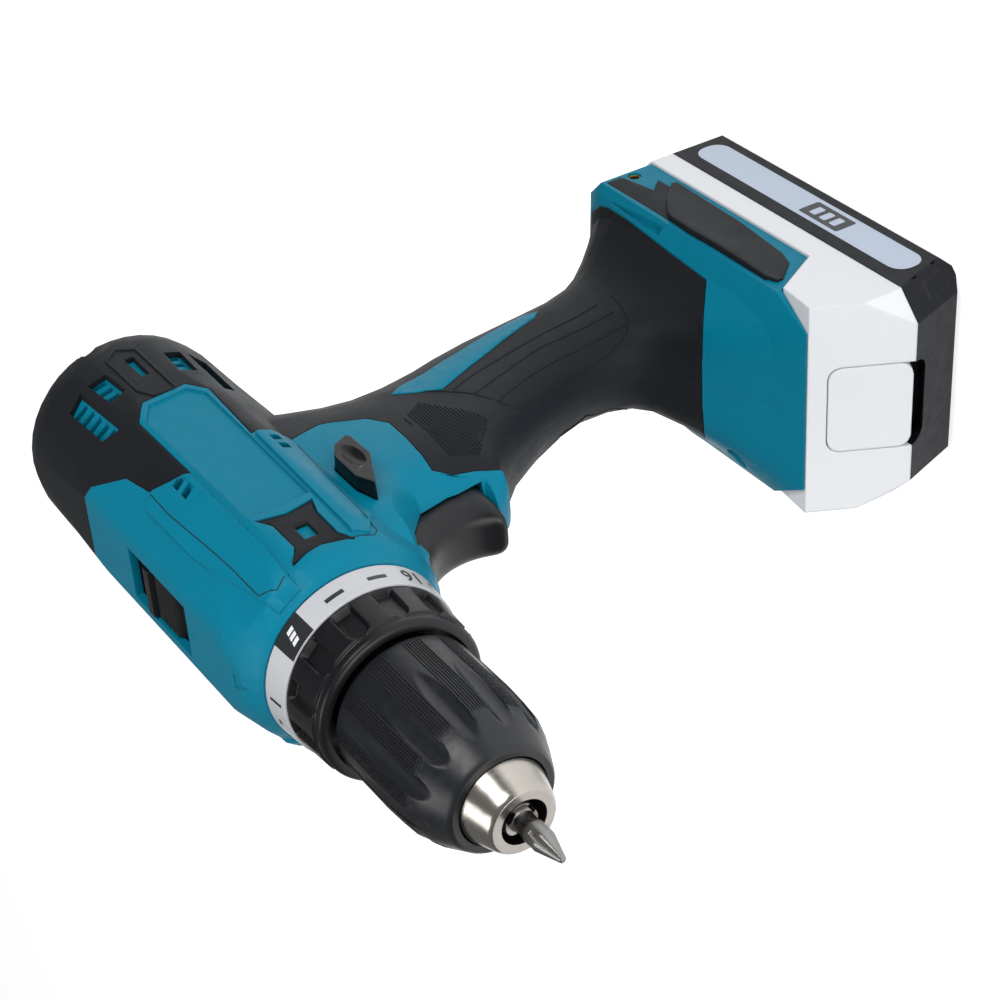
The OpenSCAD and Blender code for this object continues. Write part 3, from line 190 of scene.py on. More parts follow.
plasticSets = {
    "teal_shell": dict(colour=(0.0, 0.195, 0.305), roughness=0.42, specular=0.12, grain=0.45 * mm,
                       depth=0.035 * mm),
    "black_plastic": dict(colour=(0.0045, 0.005, 0.0065), roughness=0.34, specular=0.3, grain=0.5 * mm,
                          depth=0.02 * mm),
    "chuck_plastic": dict(colour=(0.006, 0.0072, 0.0095), roughness=0.34, specular=0.4, grain=0.35 * mm,
                          depth=0.02 * mm),
    "case_plastic": dict(colour=(0.0075, 0.0085, 0.0115), roughness=0.46, specular=0.13, grain=0.6 * mm,
                         depth=0.04 * mm),
    "white_plastic": dict(colour=(0.84, 0.86, 0.89), roughness=0.4, grain=0.7 * mm, depth=0.012 * mm,
                          mottle=0.015, wearAndHighlight=0.0, edge=0.8 * mm),
    "scale_plastic": dict(colour=(0.56, 0.57, 0.60), roughness=0.34, grain=0.3 * mm, depth=0.01 * mm,
                          mottle=0.03, wearAndHighlight=0.0, coat=0.2),
    "nylon_frame": dict(colour=(0.02, 0.022, 0.025), roughness=0.5),
    "ochre_plastic": dict(colour=(0.5, 0.33, 0.05), roughness=0.4),
    "board_green": dict(colour=(0.02, 0.12, 0.05), roughness=0.3, coat=0.4),
    "cell_wrap": dict(colour=(0.05, 0.22, 0.12), roughness=0.3, grain=3 * mm, depth=0.05 * mm, wearAndHighlight=0.0,
                      coat=0.3),
}
evenGrain = (1.0, 1.0, 1.0)   # other grains are finer along X, Y or Z
metalSets = {
    "steel": dict(colour=(0.40, 0.375, 0.345), roughness=0.2),
    "jaw_steel": dict(colour=(0.38, 0.36, 0.34), roughness=0.36, lines=(8.0, 1.0, 8.0)),
    "bit_steel": dict(colour=(0.24, 0.235, 0.23), roughness=0.3, lines=(6.0, 1.0, 6.0), lineSize=3 * mm),
    "dark_steel": dict(colour=(0.07, 0.07, 0.08), roughness=0.42, metallic=0.8),
    "sintered": dict(colour=(0.26, 0.26, 0.27), roughness=0.5, lines=evenGrain, lineSize=0.5 * mm,
                     depth=0.03 * mm),
    "zinc": dict(colour=(0.55, 0.55, 0.57), roughness=0.35, lines=evenGrain, lineSize=4 * mm),
    "spring_wire": dict(colour=(0.42, 0.43, 0.45), roughness=0.3, lines=evenGrain, lineSize=1.5 * mm),
    "brass": dict(colour=(0.68, 0.47, 0.17), roughness=0.3),
    "copper": dict(colour=(0.72, 0.33, 0.17), roughness=0.3),
    "graphite": dict(colour=(0.05, 0.05, 0.055), roughness=0.6, metallic=0.2, lines=evenGrain,
                     lineSize=0.6 * mm),
    "magnet": dict(colour=(0.07, 0.07, 0.075), roughness=0.55, metallic=0.4, lines=evenGrain,
                   lineSize=0.8 * mm),
}
finish = {slot: plasticFinish(slot, **values) for slot, values in plasticSets.items()}
finish.update({slot: metalFinish(slot, **values) for slot, values in metalSets.items()})
finish["soft_grip"] = rubberFinish("soft_grip", (0.0068, 0.0085, 0.0112), 0.55)
print("finishes made:", len(finish))


def dress(piece, material):
    piece.data.materials.clear()
    piece.data.materials.append(material)


for nodeName, piece in nodes.items():
    dress(piece, finish[slotOf[nodeName]])


# pieces that stand for CAD nodes with smooth shading

def placed(name, data, matrix=Matrix()):
    holder = bpy.data.objects.new(name, data)
    scene.collection.objects.link(holder)
    holder.matrix_world = matrix
    return holder


def pieceFrom(name, mesh, body, slot, material=None):
    piece = placed(name, mesh)
    dress(piece, material or finish[slot])
    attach(piece, body)
    return piece


@contextmanager
def editing(mesh):
    draft = bmesh.new()
    draft.from_mesh(mesh)
    yield draft
    draft.to_mesh(mesh)
    draft.free()


def shadeSmooth(mesh, angle):
    mesh.shade_smooth()
    mesh.set_sharp_from_angle(angle=math.radians(angle))


def solidMesh(name, corners, faces):
    mesh = bpy.data.meshes.new(name)
    mesh.from_pydata(corners, [], faces)
    with editing(mesh) as draft:
        bmesh.ops.recalc_face_normals(draft, faces=draft.faces)
    return mesh


def ringFaces(rows, columns, closed=False):   # between rings of corners, with end caps unless the rows close
    faces = []
    for r in range(rows if closed else rows - 1):
        here, onward = r * columns, (r + 1) % rows * columns
        for c in range(columns):
            beside = (c + 1) % columns
            faces.append((here + c, here + beside, onward + beside, onward + c))
    if not closed:
        faces += [tuple(range(columns)), tuple(range((rows - 1) * columns, rows * columns))]
    return faces


def limited(value):
    return min(1.0, max(0.0, value))


def sliced(draft, place, normal, clear=False):
    everything = draft.verts[:] + draft.edges[:] + draft.faces[:]
    return bmesh.ops.bisect_plane(draft, geom=everything, plane_co=place, plane_no=normal, clear_outer=clear)


def smoothCopy(nodeName, angle):
    mesh = nodes[nodeName].data.copy()
    with editing(mesh) as draft:
        bmesh.ops.remove_doubles(draft, verts=draft.verts, dist=0.002 * mm)
    if "custom_normal" in mesh.attributes:
        mesh.attributes.remove(mesh.attributes["custom_normal"])
    shadeSmooth(mesh, angle)
    piece = pieceFrom(nodeName + "_smooth", mesh, bodyOf[nodeName], slotOf[nodeName])
    weighting = piece.modifiers.new("evenShade", "WEIGHTED_NORMAL")
    weighting.keep_sharp = True
    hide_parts(nodeName)
    return piece


smoothed = {   # the angle in degrees past which an edge stays sharp
    "housing_left": 26, "housing_right": 26, "soft_grip_left": 30, "soft_grip_right": 30, "chuck_body": 32,
    "release_button": 25, "reverse_lever": 30, "speed_knob": 25, "battery_case": 20, "battery_cover": 20,
}
smoothPieces = {nodeName: smoothCopy(nodeName, angle) for nodeName, angle in smoothed.items()}
print("smooth copies:", len(smoothPieces))


# forms that the solids keep plainer

def between(rows, place):   # the value at a place along rows of [place, value]
    for (a, first), (b, last) in zip(rows, rows[1:]):
        if place <= b:
            return first + (last - first) * max(0.0, place - a) / (b - a)
    return rows[-1][1]


frontSet = dict(   # outer radius at each distance behind the front, in the solid and as shown
    solid=((-1.0, 29.0), (0.0, 29.0), (1.0, 30.2), (16.0, 32.9), (17.0, 32.9)),
    shown=((-1.0, 27.4), (0.0, 27.4), (2.0, 28.0), (5.9, 30.3), (17.0, 32.9)),
    slices=(2.0, 5.9), innerRadius=25.8, outerRadius=36.0, fade=3.0)


def slimFront(piece):   # draws the housing's front edge in to the band
    with editing(piece.data) as draft:
        for along in frontSet["slices"]:
            sliced(draft, (0, frontFace + along * mm, 0), (0, 1, 0))
        for vertex in draft.verts:
            along = (vertex.co.y - frontFace) / mm
            out = Vector((vertex.co.x, 0, vertex.co.z - spindleHeight))
            radius = out.length / mm
            if along < frontSet["shown"][-1][0] and radius > frontSet["innerRadius"]:
                share = between(frontSet["shown"], along) / between(frontSet["solid"], along)
                fade = limited((frontSet["outerRadius"] - radius) / frontSet["fade"])
                moved = max(radius * (1 - (1 - share) * fade), frontSet["innerRadius"])
                vertex.co.x *= moved / radius
                vertex.co.z = spindleHeight + (vertex.co.z - spindleHeight) * moved / radius


lipSet = dict(start=30.0, run=13.0, low=139.0, lowFade=7.0, high=157.5, highFade=1.5, back=4.6)


def drawLipIn(piece):   # ends the housing's lip below the trigger a little farther back
    for vertex in piece.data.vertices:
        away, height = -vertex.co.y / mm, vertex.co.z / mm
        reach = limited((away - lipSet["start"]) / lipSet["run"])
        low = limited((height - lipSet["low"]) / lipSet["lowFade"])
        high = limited((lipSet["high"] - height) / lipSet["highFade"])
        vertex.co.y += lipSet["back"] * mm * reach * low * high


cornerSet = dict(top=23.7, low=2.6, lean=6.6, inner=(27.4, -65.5), outer=(36.0, -57.7))


def loopsOf(edges):   # the closed loops of vertices that a list of edges makes
    loops = []
    while edges:
        edge = edges.pop()
        loop = [edge.verts[0], edge.verts[1]]
        onward = [e for e in loop[-1].link_edges if e in edges]
        while onward:
            edges.remove(onward[0])
            loop.append(onward[0].other_vert(loop[-1]))
            onward = [e for e in loop[-1].link_edges if e in edges]
        loops.append(loop[:-1] if loop[-1] == loop[0] else loop)
    return loops


def shaveCorners(piece):   # leans the battery's front corners back with its front face
    inner, outer, lean = cornerSet["inner"], cornerSet["outer"], cornerSet["lean"]
    down = Vector((0, lean, cornerSet["low"] - cornerSet["top"]))
    with editing(piece.data) as draft:
        for side in (-1, 1):
            along = Vector((side * (outer[0] - inner[0]), outer[1] - inner[1], 0))
            normal = along.cross(down)
            normal *= 1 if normal.y < 0 else -1
            corner = Vector((side * inner[0], inner[1], cornerSet["top"])) * mm
            cut = sliced(draft, corner, normal, True)
            rim = [e for e in cut["geom_cut"] if isinstance(e, bmesh.types.BMEdge) and e.is_boundary]
            draft.faces.new(max(loopsOf(rim), key=len))
        bmesh.ops.recalc_face_normals(draft, faces=draft.faces)


# rows of [distance before the front, radius], turned round the spindle; cutRadius may lower each radius
def turnedPiece(name, nodeName, rows, columns, cutRadius=None, closed=True, angle=32):
    corners = []
    for along, radius in rows:
        for c in range(columns):
            degrees = 360.0 * c / columns
            turn = math.radians(degrees)
            reach = cutRadius(degrees, along, radius) if cutRadius else radius
            corners.append((reach * mm * math.cos(turn), frontFace - along * mm,
                            spindleHeight + reach * mm * math.sin(turn)))
    return formPiece(name, nodeName, corners, ringFaces(len(rows), columns, closed), angle)


def formPiece(name, nodeName, corners, faces, angle):
    mesh = solidMesh(name, corners, faces)
    shadeSmooth(mesh, angle)
    piece = pieceFrom(name, mesh, bodyOf[nodeName], slotOf[nodeName])
    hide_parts(nodeName)
    return piece


def denseRows(outline, step):   # the outline with points no farther apart than about a step
    rows = []
    for a, b in zip(outline, outline[1:]):
        count = max(1, round(math.dist(a, b) / step))
        for k in range(count):
            rows.append((a[0] + (b[0] - a[0]) * k / count, a[1] + (b[1] - a[1]) * k / count))
    return rows + [outline[-1]]


bandSet = dict(back=0.3, length=8.6, radius=26.9, taper=0.8, wall=2.0, edge=0.15)


def buildBand():
    back, edge, wall = bandSet["back"], bandSet["edge"], bandSet["wall"]
    front, outer = back + bandSet["length"], bandSet["radius"]
    frontOuter = outer - bandSet["taper"]
    outline = [(back, outer - wall), (back, outer - edge), (back + edge, outer), (front - edge, frontOuter),
               (front, frontOuter - edge), (front, frontOuter - wall)]
    turnedPiece("scale_band", "clutch_band", outline, 180)


def offCentre(turn, first, count):   # degrees from the nearest of count evenly spread centres
    pitch = 360.0 / count
    return (turn - first + pitch / 2) % pitch - pitch / 2


ringSet = dict(   # the nose is rows of [behind the front edge, below the radius]
    back=8.92, length=15.2, radius=25.5, rearRound=(0.1, 0.12), taper=(3.6, 0.8), rowStep=0.4,
    bore=21.3, boreLength=7.0, neck=16.6, tail=3.0, tailRadius=20.0,
    nose=((3.3, 1.25), (3.0, 1.5), (2.4, 1.45), (1.2, 1.3), (0.5, 1.7), (0.0, 2.5)),
    pockets=13, firstPocket=18.0, pocketWidth=6.0, pocketDepth=2.1, pocketStart=0.7, pocketEnd=9.0,
    wallSlope=0.45, startSlope=0.4)


def ringRadius(turn, along, radius):
    start, stop = ringSet["back"] + ringSet["pocketStart"], ringSet["back"] + ringSet["pocketEnd"]
    half = ringSet["pocketWidth"] / 2
    bottom = ringSet["radius"] - ringSet["pocketDepth"]
    if radius < bottom - 0.5 or not start <= along <= stop + half:
        return radius
    off = math.radians(offCentre(turn, ringSet["firstPocket"], ringSet["pockets"]))
    sideways = abs(radius * math.sin(off))
    reach = math.hypot(sideways, along - stop) if along > stop else sideways
    depth = limited((half - reach) / ringSet["wallSlope"]) * min(1.0, (along - start) / ringSet["startSlope"])
    floor = min(radius, bottom / math.cos(off))
    return radius - (radius - floor) * depth


def buildRing():
    back, outer, bore, neck = ringSet["back"], ringSet["radius"], ringSet["bore"], ringSet["neck"]
    front = back + ringSet["length"]
    floor, tail = front - ringSet["boreLength"], back - ringSet["tail"]
    (rearAlong, rearDepth), (taperAlong, taperDepth) = ringSet["rearRound"], ringSet["taper"]
    outside = denseRows([(back, outer - rearDepth), (back + rearAlong, outer),
                         (front - taperAlong, outer - taperDepth)], ringSet["rowStep"])
    nose = [(front - away, outer - depth) for away, depth in ringSet["nose"]]
    inside = [(front, bore), (floor, bore), (floor, neck), (tail, neck), (tail, ringSet["tailRadius"]),
              (back, ringSet["tailRadius"])]
    turnedPiece("grip_ring", "clutch_ring", outside + nose + inside, 468, ringRadius, angle=50)


sleeveSet = dict(   # the taper is rows of [before the front, below the radius]
    radius=20.8, taper=((46.0, 0.0), (52.5, 0.35), (59.0, 0.95), (62.0, 1.85)), rowStep=0.9,
    rearRound=(1, 0.6), mouthRound=(0.8, 15.4), mouth=14.6, bore=12.75, innerRadius=17.65,
    innerCone=((62.6, 15.6), (58.4, 17.65)),
    scoops=12, firstScoop=9.0, scoopRadius=4.6, scoopStart=38.0, scoopLean=6.5)


def sleeveRadius(turn, along, radius):
    off = math.radians(offCentre(turn, sleeveSet["firstScoop"], sleeveSet["scoops"]))
    centre = (sleeveSet["radius"] + sleeveSet["scoopRadius"]
              - math.tan(math.radians(sleeveSet["scoopLean"])) * (along - sleeveSet["scoopStart"]))
    inside = sleeveSet["scoopRadius"] ** 2 - (centre * math.sin(off)) ** 2
    if inside <= 0 or along < sleeveSet["scoopStart"] or radius < sleeveSet["mouth"]:
        return radius
    return min(radius, centre * math.cos(off) - math.sqrt(inside))


def buildSleeve():
    low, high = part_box("chuck_sleeve")
    back, front = (frontFace - high[1]) / mm, (frontFace - low[1]) / mm
    outer, bore, inner = sleeveSet["radius"], sleeveSet["bore"], sleeveSet["innerRadius"]
    taper = [(along, outer - depth) for along, depth in sleeveSet["taper"]]
    (rearAlong, rearDepth), (mouthAlong, mouthRadius) = sleeveSet["rearRound"], sleeveSet["mouthRound"]
    rear = [(back, outer - rearDepth), (back + rearAlong, outer)]
    mouth = [(front - mouthAlong, mouthRadius), (front, sleeveSet["mouth"])]
    outside = denseRows(rear + taper + mouth, sleeveSet["rowStep"])
    inside = [(front, bore), (front - mouthAlong, bore), *sleeveSet["innerCone"], (back, inner)]
    turnedPiece("chuck_grip", "chuck_sleeve", outside + inside, 480, sleeveRadius, angle=27)


bitSet = dict(   # the tip is rows of [behind the point, radius]
    acrossFlats=6.35, length=45.0, shankEnd=17.0, shankRadius=3.3,
    tip=((16.9, 3.0), (14.6, 2.9), (12.5, 3.2), (8, 3.2), (0.3, 0.95), (0.0, 0.6)),
    fluteStart=10.5, fluteApex=2.6, fluteLean=11.0)
bitTip = (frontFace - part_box("driver_bit")[0][1]) / mm


def bitRadius(turn, along, radius):   # six flats on the shank, four flutes at the tip
    fromTip = bitTip - along
    if fromTip > bitSet["shankEnd"]:
        return bitSet["acrossFlats"] / 2 / math.cos(math.radians(offCentre(turn, 0, 6)))
    off = math.radians(offCentre(turn, 45, 4))
    spread = math.cos(off) - abs(math.sin(off))
    if fromTip > bitSet["fluteStart"] or spread <= 0:
        return radius
    lean = math.tan(math.radians(bitSet["fluteLean"]))
    apex = bitSet["fluteApex"] - lean * (bitSet["fluteStart"] - fromTip)
    return min(radius, apex / spread)


def buildBit():
    shankFront = bitTip - bitSet["shankEnd"] - 0.1
    shank = [(bitTip - bitSet["length"], bitSet["shankRadius"]), (shankFront, bitSet["shankRadius"])]
    tip = [(bitTip - away, radius) for away, radius in bitSet["tip"]]
    rows = denseRows(shank, 8) + denseRows(tip, 0.5)
    turnedPiece("bit", "driver_bit", rows, 96, bitRadius, closed=False, angle=30)


triggerSet = dict(   # the hollow is [y, height, radius] of its arc, and the levels are heights over the base
    hollow=(-63.1, 12.5, 19.6), brow=26.0, slope=0.8, cornerRound=4.0, frontRound=2.6, topRound=1.6,
    topReach=1.2, squareness=0.5, back=-26.0, columns=49,
    levels=(0, 0.4, 1.0, 1.8, 2.8, *range(4, 28, 2), 27.2, 28.3, 29.3))


def rounding(height, radius):   # how far an edge with this radius draws in at a height over its base
    rest = min(radius, max(0.0, radius - height))
    return radius - math.sqrt(radius ** 2 - rest ** 2)


def triggerFront(height, total):   # the hollow front, with the finger's brow over it
    centreY, centreZ, bow = triggerSet["hollow"]
    above = max(0.0, height - triggerSet["brow"])
    hollow = math.sqrt(bow ** 2 - (min(height, triggerSet["brow"]) - centreZ) ** 2)
    edges = rounding(height, triggerSet["frontRound"])
    topEdge = triggerSet["topReach"] * rounding(total - height, triggerSet["topRound"])
    return centreY - triggerSet["slope"] * above + hollow + edges + topEdge


def buildTrigger():
    low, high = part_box("trigger")
    half, base, top = high[0] / mm, low[2] / mm, high[2] / mm
    back, power, columns = triggerSet["back"], triggerSet["squareness"], triggerSet["columns"]
    scale = (top - base) / triggerSet["levels"][-1]
    corners = []
    for level in triggerSet["levels"]:
        height = level * scale
        width = half - rounding(height, triggerSet["cornerRound"])
        depth = back - triggerFront(height, top - base)
        for k in range(columns):
            turn = math.radians(180 - 180 / (columns - 1) * k)
            sideways = math.copysign(abs(math.cos(turn)) ** power, math.cos(turn))
            y = back - depth * math.sin(turn) ** power
            corners.append((width * sideways * mm, y * mm, (base + height) * mm))
    formPiece("trigger_form", "trigger", corners, ringFaces(len(triggerSet["levels"]), columns), 40)


for side, word in flanks:
    slimFront(smoothPieces["housing_" + word])
    drawLipIn(smoothPieces["housing_" + word])
    drawLipIn(smoothPieces["soft_grip_" + word])
shaveCorners(smoothPieces["battery_case"])
for build in (buildBand, buildRing, buildSleeve, buildBit, buildTrigger):
    build()
print("forms built")


# prints, painted shade along the seam lines, and ribs

class NodeTree(TreeDraft):
    def __init__(self, name, sizes):
        super().__init__(bpy.data.node_groups.new(name, "GeometryNodeTree"))
        face = self.tree.interface
        face.new_socket("Geometry", in_out="INPUT", socket_type="NodeSocketGeometry")
        for label, value in sizes.items():
            kind = "NodeSocketInt" if isinstance(value, int) else "NodeSocketFloat"
            face.new_socket(label, in_out="INPUT", socket_type=kind).default_value = value
        face.new_socket("Finish", in_out="INPUT", socket_type="NodeSocketMaterial")
        face.new_socket("Geometry", in_out="OUTPUT", socket_type="NodeSocketGeometry")
        self.source = self.tree.nodes.new("NodeGroupInput").outputs

    def close(self, geometry):
        real = self.add("GeometryNodeRealizeInstances", None, {0: geometry}).outputs[0]
        paint = {"Geometry": real, "Material": self.source["Finish"]}
        painted = self.add("GeometryNodeSetMaterial", None, paint)
        self.add("NodeGroupOutput", None, {0: painted.outputs[0]})
        return self.tree


def beadTree():
    draft = NodeTree("beadAlongEdges", {"Radius": 0.2 * mm, "Sides": 5})
    path = draft.add("GeometryNodeMeshToCurve", None, {"Mesh": draft.source["Geometry"]})
    upright = draft.add("GeometryNodeSetCurveNormal", {"mode": "MINIMUM_TWIST"}, {"Curve": path.outputs[0]})
    circle = {"Resolution": draft.source["Sides"], "Radius": draft.source["Radius"]}
    ring = draft.add("GeometryNodeCurvePrimitiveCircle", None, circle)
    profile = {"Curve": upright.outputs[0], "Profile Curve": ring.outputs["Curve"], "Fill Caps": True}
    tube = draft.add("GeometryNodeCurveToMesh", None, profile)
    soft = draft.add("GeometryNodeSetShadeSmooth", None, {0: tube.outputs[0]})
    return draft.close(soft.outputs[0])


def spinTree():
    draft = NodeTree("copiesRoundSpindle", {"Groups": 12, "Each": 7, "Group Angle": 30.0, "Pitch Angle": 2.0,
                                            "First Angle": 0.0, "Height": spindleHeight})
    inputs, each = draft.source, draft.source["Each"]
    index = draft.add("GeometryNodeInputIndex").outputs[0]
    total = draft.math("MULTIPLY", inputs["Groups"], each)
    place = draft.add("ShaderNodeCombineXYZ", None, {"Z": inputs["Height"]}).outputs[0]
    starts = {"Count": total, "Start Location": place, "Offset": (0, 0, 0)}
    line = draft.add("GeometryNodeMeshLine", None, starts)
    group = draft.math("FLOOR", draft.math("DIVIDE", draft.math("ADD", index, 0.01), each))
    within = draft.math("SUBTRACT", index, draft.math("MULTIPLY", group, each))
    middle = draft.math("DIVIDE", draft.math("SUBTRACT", each, 1.0), 2.0)
    centred = draft.math("SUBTRACT", within, middle)
    turn = draft.math("ADD", draft.math("MULTIPLY", group, inputs["Group Angle"]),
                      draft.math("MULTIPLY", centred, inputs["Pitch Angle"]))
    angle = draft.math("RADIANS", draft.math("ADD", turn, inputs["First Angle"]))
    spin = draft.add("ShaderNodeCombineXYZ", None, {"Y": draft.math("MULTIPLY", angle, -1.0)}).outputs[0]
    copies = {"Points": line.outputs[0], "Instance": inputs["Geometry"], "Rotation": spin}
    return draft.close(draft.add("GeometryNodeInstanceOnPoints", None, copies).outputs[0])


trees = {"bead": beadTree(), "spin": spinTree()}


def plainMesh(holder):   # the evaluated result as a mesh of its own, without the holder
    bpy.context.view_layer.update()
    mesh = bpy.data.meshes.new_from_object(holder.evaluated_get(bpy.context.evaluated_depsgraph_get()))
    bpy.data.objects.remove(holder)
    return mesh


def grown(name, mesh, treeName, body, slot, material, sizes):
    holder = placed(name + "_seed", mesh)
    growth = holder.modifiers.new("growth", "NODES")
    growth.node_group = trees[treeName]
    values = dict(sizes, Finish=material)
    for socket in trees[treeName].interface.items_tree:
        if socket.item_type == "SOCKET" and socket.in_out == "INPUT" and socket.name in values:
            growth[socket.identifier] = values[socket.name]
    solid = plainMesh(holder)
    solid.name = name
    pieceFrom(name, solid, body, slot, material)


def linesMesh(name, paths):
    mesh = bpy.data.meshes.new(name)
    points, edges = [], []
    for path in paths:
        edges += [(len(points) + k, len(points) + k + 1) for k in range(len(path) - 1)]
        points += path
    mesh.from_pydata(points, edges, [])
    return mesh


def beadPiece(name, paths, nodeName, radius, sides=6, slot=None, material=None):
    slot = slot or slotOf[nodeName]
    grown(name, linesMesh(name + "_lines", paths), "bead", bodyOf[nodeName], slot, material or finish[slot],
          {"Radius": radius, "Sides": sides})


def thicken(piece, thickness):   # inwards from the sheet
    wall = piece.modifiers.new("thickness", "SOLIDIFY")
    wall.thickness = thickness
    wall.offset = -1


def sheetPiece(name, corners, faces, body, slot, material, thickness):
    mesh = bpy.data.meshes.new(name)
    mesh.from_pydata(corners, [], faces)
    with editing(mesh) as draft:
        bmesh.ops.remove_doubles(draft, verts=draft.verts, dist=0.001 * mm)
    thicken(pieceFrom(name, mesh, body, slot, material), thickness)


def printFinish(name, colour, roughness=0.45, speck=0.05, size=1.2 * mm, depth=0.004 * mm):
    draft = ShaderDraft(name)
    cloud = draft.noise(size, 4.0, 0.6)
    draft.shade({"Base Color": draft.blendColour(cloud, tint(colour, 1 - speck), tint(colour, 1 + speck)),
                 "Roughness": draft.remap(cloud, 0.3, 0.7, roughness - 0.05, roughness + 0.07),
                 "Normal": draft.bump(draft.noise(0.3 * mm, 2.0), depth)})
    return draft.material


prints = {
    "dark": printFinish("dark_print", (0.014, 0.015, 0.018)),
    "white": printFinish("white_print", (0.82, 0.83, 0.85)),
    "label": printFinish("label_film", (0.52, 0.60, 0.74), 0.38, 0.02, 9 * mm, 0.001 * mm),
    # painted shade: a near-black colour for the shade along the seam round each raised rib
    "seam": printFinish("seam_shadow", (0.002, 0.006, 0.010), 0.8),
}


# marks on the clutch's scale

scaleSet = dict(lift=0.08 * mm, darkLift=0.05 * mm, thickness=0.12 * mm, dark=(35.5, 57.0), darkEdge=0.008,
                drillAngle=46.0, drillBars=3, barSpread=2.6, barPitch=0.2, barHalf=0.07, barSlant=5.0,
                tickLength=12.0, tickWidth=1.3 * mm, tickAngles=(14.4, -13.2), tickPlace=0.56,
                firstNumeral=88.5, numeralStep=46.7, numerals=("1", "4", "7", "10", "13", "16"),
                numeralSize=6.8 * mm, boldness=0.11 * mm, smallTick=(3.2, 1.1 * mm))
bandBack = frontFace - bandSet["back"] * mm
bandLength = bandSet["length"] * mm
bandRadius = bandSet["radius"] * mm


def bandPoint(angle, along, lift):   # along the band from 0 at its back to 1
    radius = bandRadius - bandSet["taper"] * mm * along + lift
    turn = math.radians(angle)
    return (radius * math.cos(turn), bandBack - bandLength * along, spindleHeight + radius * math.sin(turn))


def bandPatch(firstAngle, lastAngle, back, front, lift, slant=0.0, rows=4):
    columns = max(2, int(abs(lastAngle - firstAngle) / 1.2))
    corners, faces = [], []
    for c in range(columns + 1):
        for r in range(rows + 1):
            along = back + (front - back) * r / rows
            angle = firstAngle + (lastAngle - firstAngle) * c / columns + slant * (along - 0.5)
            corners.append(bandPoint(angle, along, lift))
    for c in range(columns):
        for r in range(rows):
            start, onward = c * (rows + 1) + r, (c + 1) * (rows + 1) + r
            faces.append((start, onward, onward + 1, start + 1))
    return corners, faces


def joined(parts):   # several [corners, faces] as one
    corners, faces = [], []
    for more, sides in parts:
        faces += [tuple(k + len(corners) for k in side) for side in sides]
        corners += more
    return corners, faces


def numeralParts(text, angle):
    curve = bpy.data.curves.new("numeral", "FONT")
    curve.body = text
    curve.size = scaleSet["numeralSize"]
    curve.align_x = curve.align_y = "CENTER"
    curve.resolution_u = 4
    curve.offset = scaleSet["boldness"]
    flat = plainMesh(placed("numeral", curve))
    with editing(flat) as draft:
        bmesh.ops.triangulate(draft, faces=draft.faces)
        bmesh.ops.recalc_face_normals(draft, faces=draft.faces)
        for face in draft.faces:
            if face.normal.z < 0:
                face.normal_flip()
    corners = []
    for vertex in flat.vertices:
        across = math.degrees(vertex.co.x / bandRadius)
        corners.append(bandPoint(angle + across, 0.5 + vertex.co.y / bandLength, scaleSet["lift"]))
    return corners, [tuple(face.vertices) for face in flat.polygons]


def bandTick(angle, length, place, width):
    half = width / bandLength / 2
    return bandPatch(angle - length / 2, angle + length / 2, place - half, place + half, scaleSet["lift"])


def scaleSheet(name, parts, slot, printName):
    corners, faces = joined(parts)
    sheetPiece(name, corners, faces, bodyOf["clutch_band"], slot, prints[printName], scaleSet["thickness"])


def buildScale():
    first, last = scaleSet["dark"]
    edge = scaleSet["darkEdge"]
    field = bandPatch(first, last, edge, 1 - edge, scaleSet["darkLift"])
    scaleSheet("scale_dark_field", [field], "black_plastic", "dark")
    bars = []
    angle, spread, half = scaleSet["drillAngle"], scaleSet["barSpread"], scaleSet["barHalf"]
    for k in range(scaleSet["drillBars"]):
        middle = 0.5 + (k - scaleSet["drillBars"] / 2 + 0.5) * scaleSet["barPitch"]
        bars.append(bandPatch(angle - spread, angle + spread, middle - half, middle + half, scaleSet["lift"],
                              scaleSet["barSlant"]))
    scaleSheet("scale_drill_mark", bars, "white_plastic", "white")
    marks = [bandTick(angle, scaleSet["tickLength"], scaleSet["tickPlace"], scaleSet["tickWidth"])
             for angle in scaleSet["tickAngles"]]
    length, width = scaleSet["smallTick"]
    for k, text in enumerate(scaleSet["numerals"]):
        angle = scaleSet["firstNumeral"] + scaleSet["numeralStep"] * k
        marks.append(numeralParts(text, angle))
        if k < len(scaleSet["numerals"]) - 1:
            for part in (1, 2):
                marks.append(bandTick(angle + scaleSet["numeralStep"] * part / 3, length, 0.5, width))
    scaleSheet("scale_numerals", marks, "black_plastic", "dark")


buildScale()
print("scale marks on the band")


# places on the surface of a piece, found by a ray from outside

surfaceOf = {}
rayStart = 0.08   # outside every piece


def surface(nodeName):
    if nodeName not in surfaceOf:
        mesh = (smoothPieces.get(nodeName) or bpy.data.objects.get(nodeName)).data
        mesh.calc_loop_triangles()
        triangles = [tuple(t.vertices) for t in mesh.loop_triangles]
        surfaceOf[nodeName] = BVHTree.FromPolygons([v.co for v in mesh.vertices], triangles)
    return surfaceOf[nodeName]


def turnedRadius(nodeName, angle, along):
    turn = math.radians(angle)
    aim = Vector((math.cos(turn), 0, math.sin(turn)))
    centre = Vector((0, frontFace - along, spindleHeight))
    return (surface(nodeName).ray_cast(centre + rayStart * aim, -aim)[0] - centre).length


def onSide(nodeNames, side, y, z, rise=0.0):   # the outermost point of the named pieces, seen from the side
    best = None
    for nodeName in nodeNames:
        start = Vector((side * rayStart, y, z))
        hit, normal = surface(nodeName).ray_cast(start, Vector((-side, 0, 0)))[:2]
        if hit and (best is None or side * hit.x > side * best.x):
            best = hit + rise * normal
    return best


# a smooth curve from a to b that runs on into its neighbours
def curveAt(before, a, b, after, t):
    straight = 2 * a + (b - before) * t
    bend = (2 * before - 5 * a + 4 * b - after) * t * t
    return 0.5 * (straight + bend + (3 * a - before - 3 * b + after) * t ** 3)


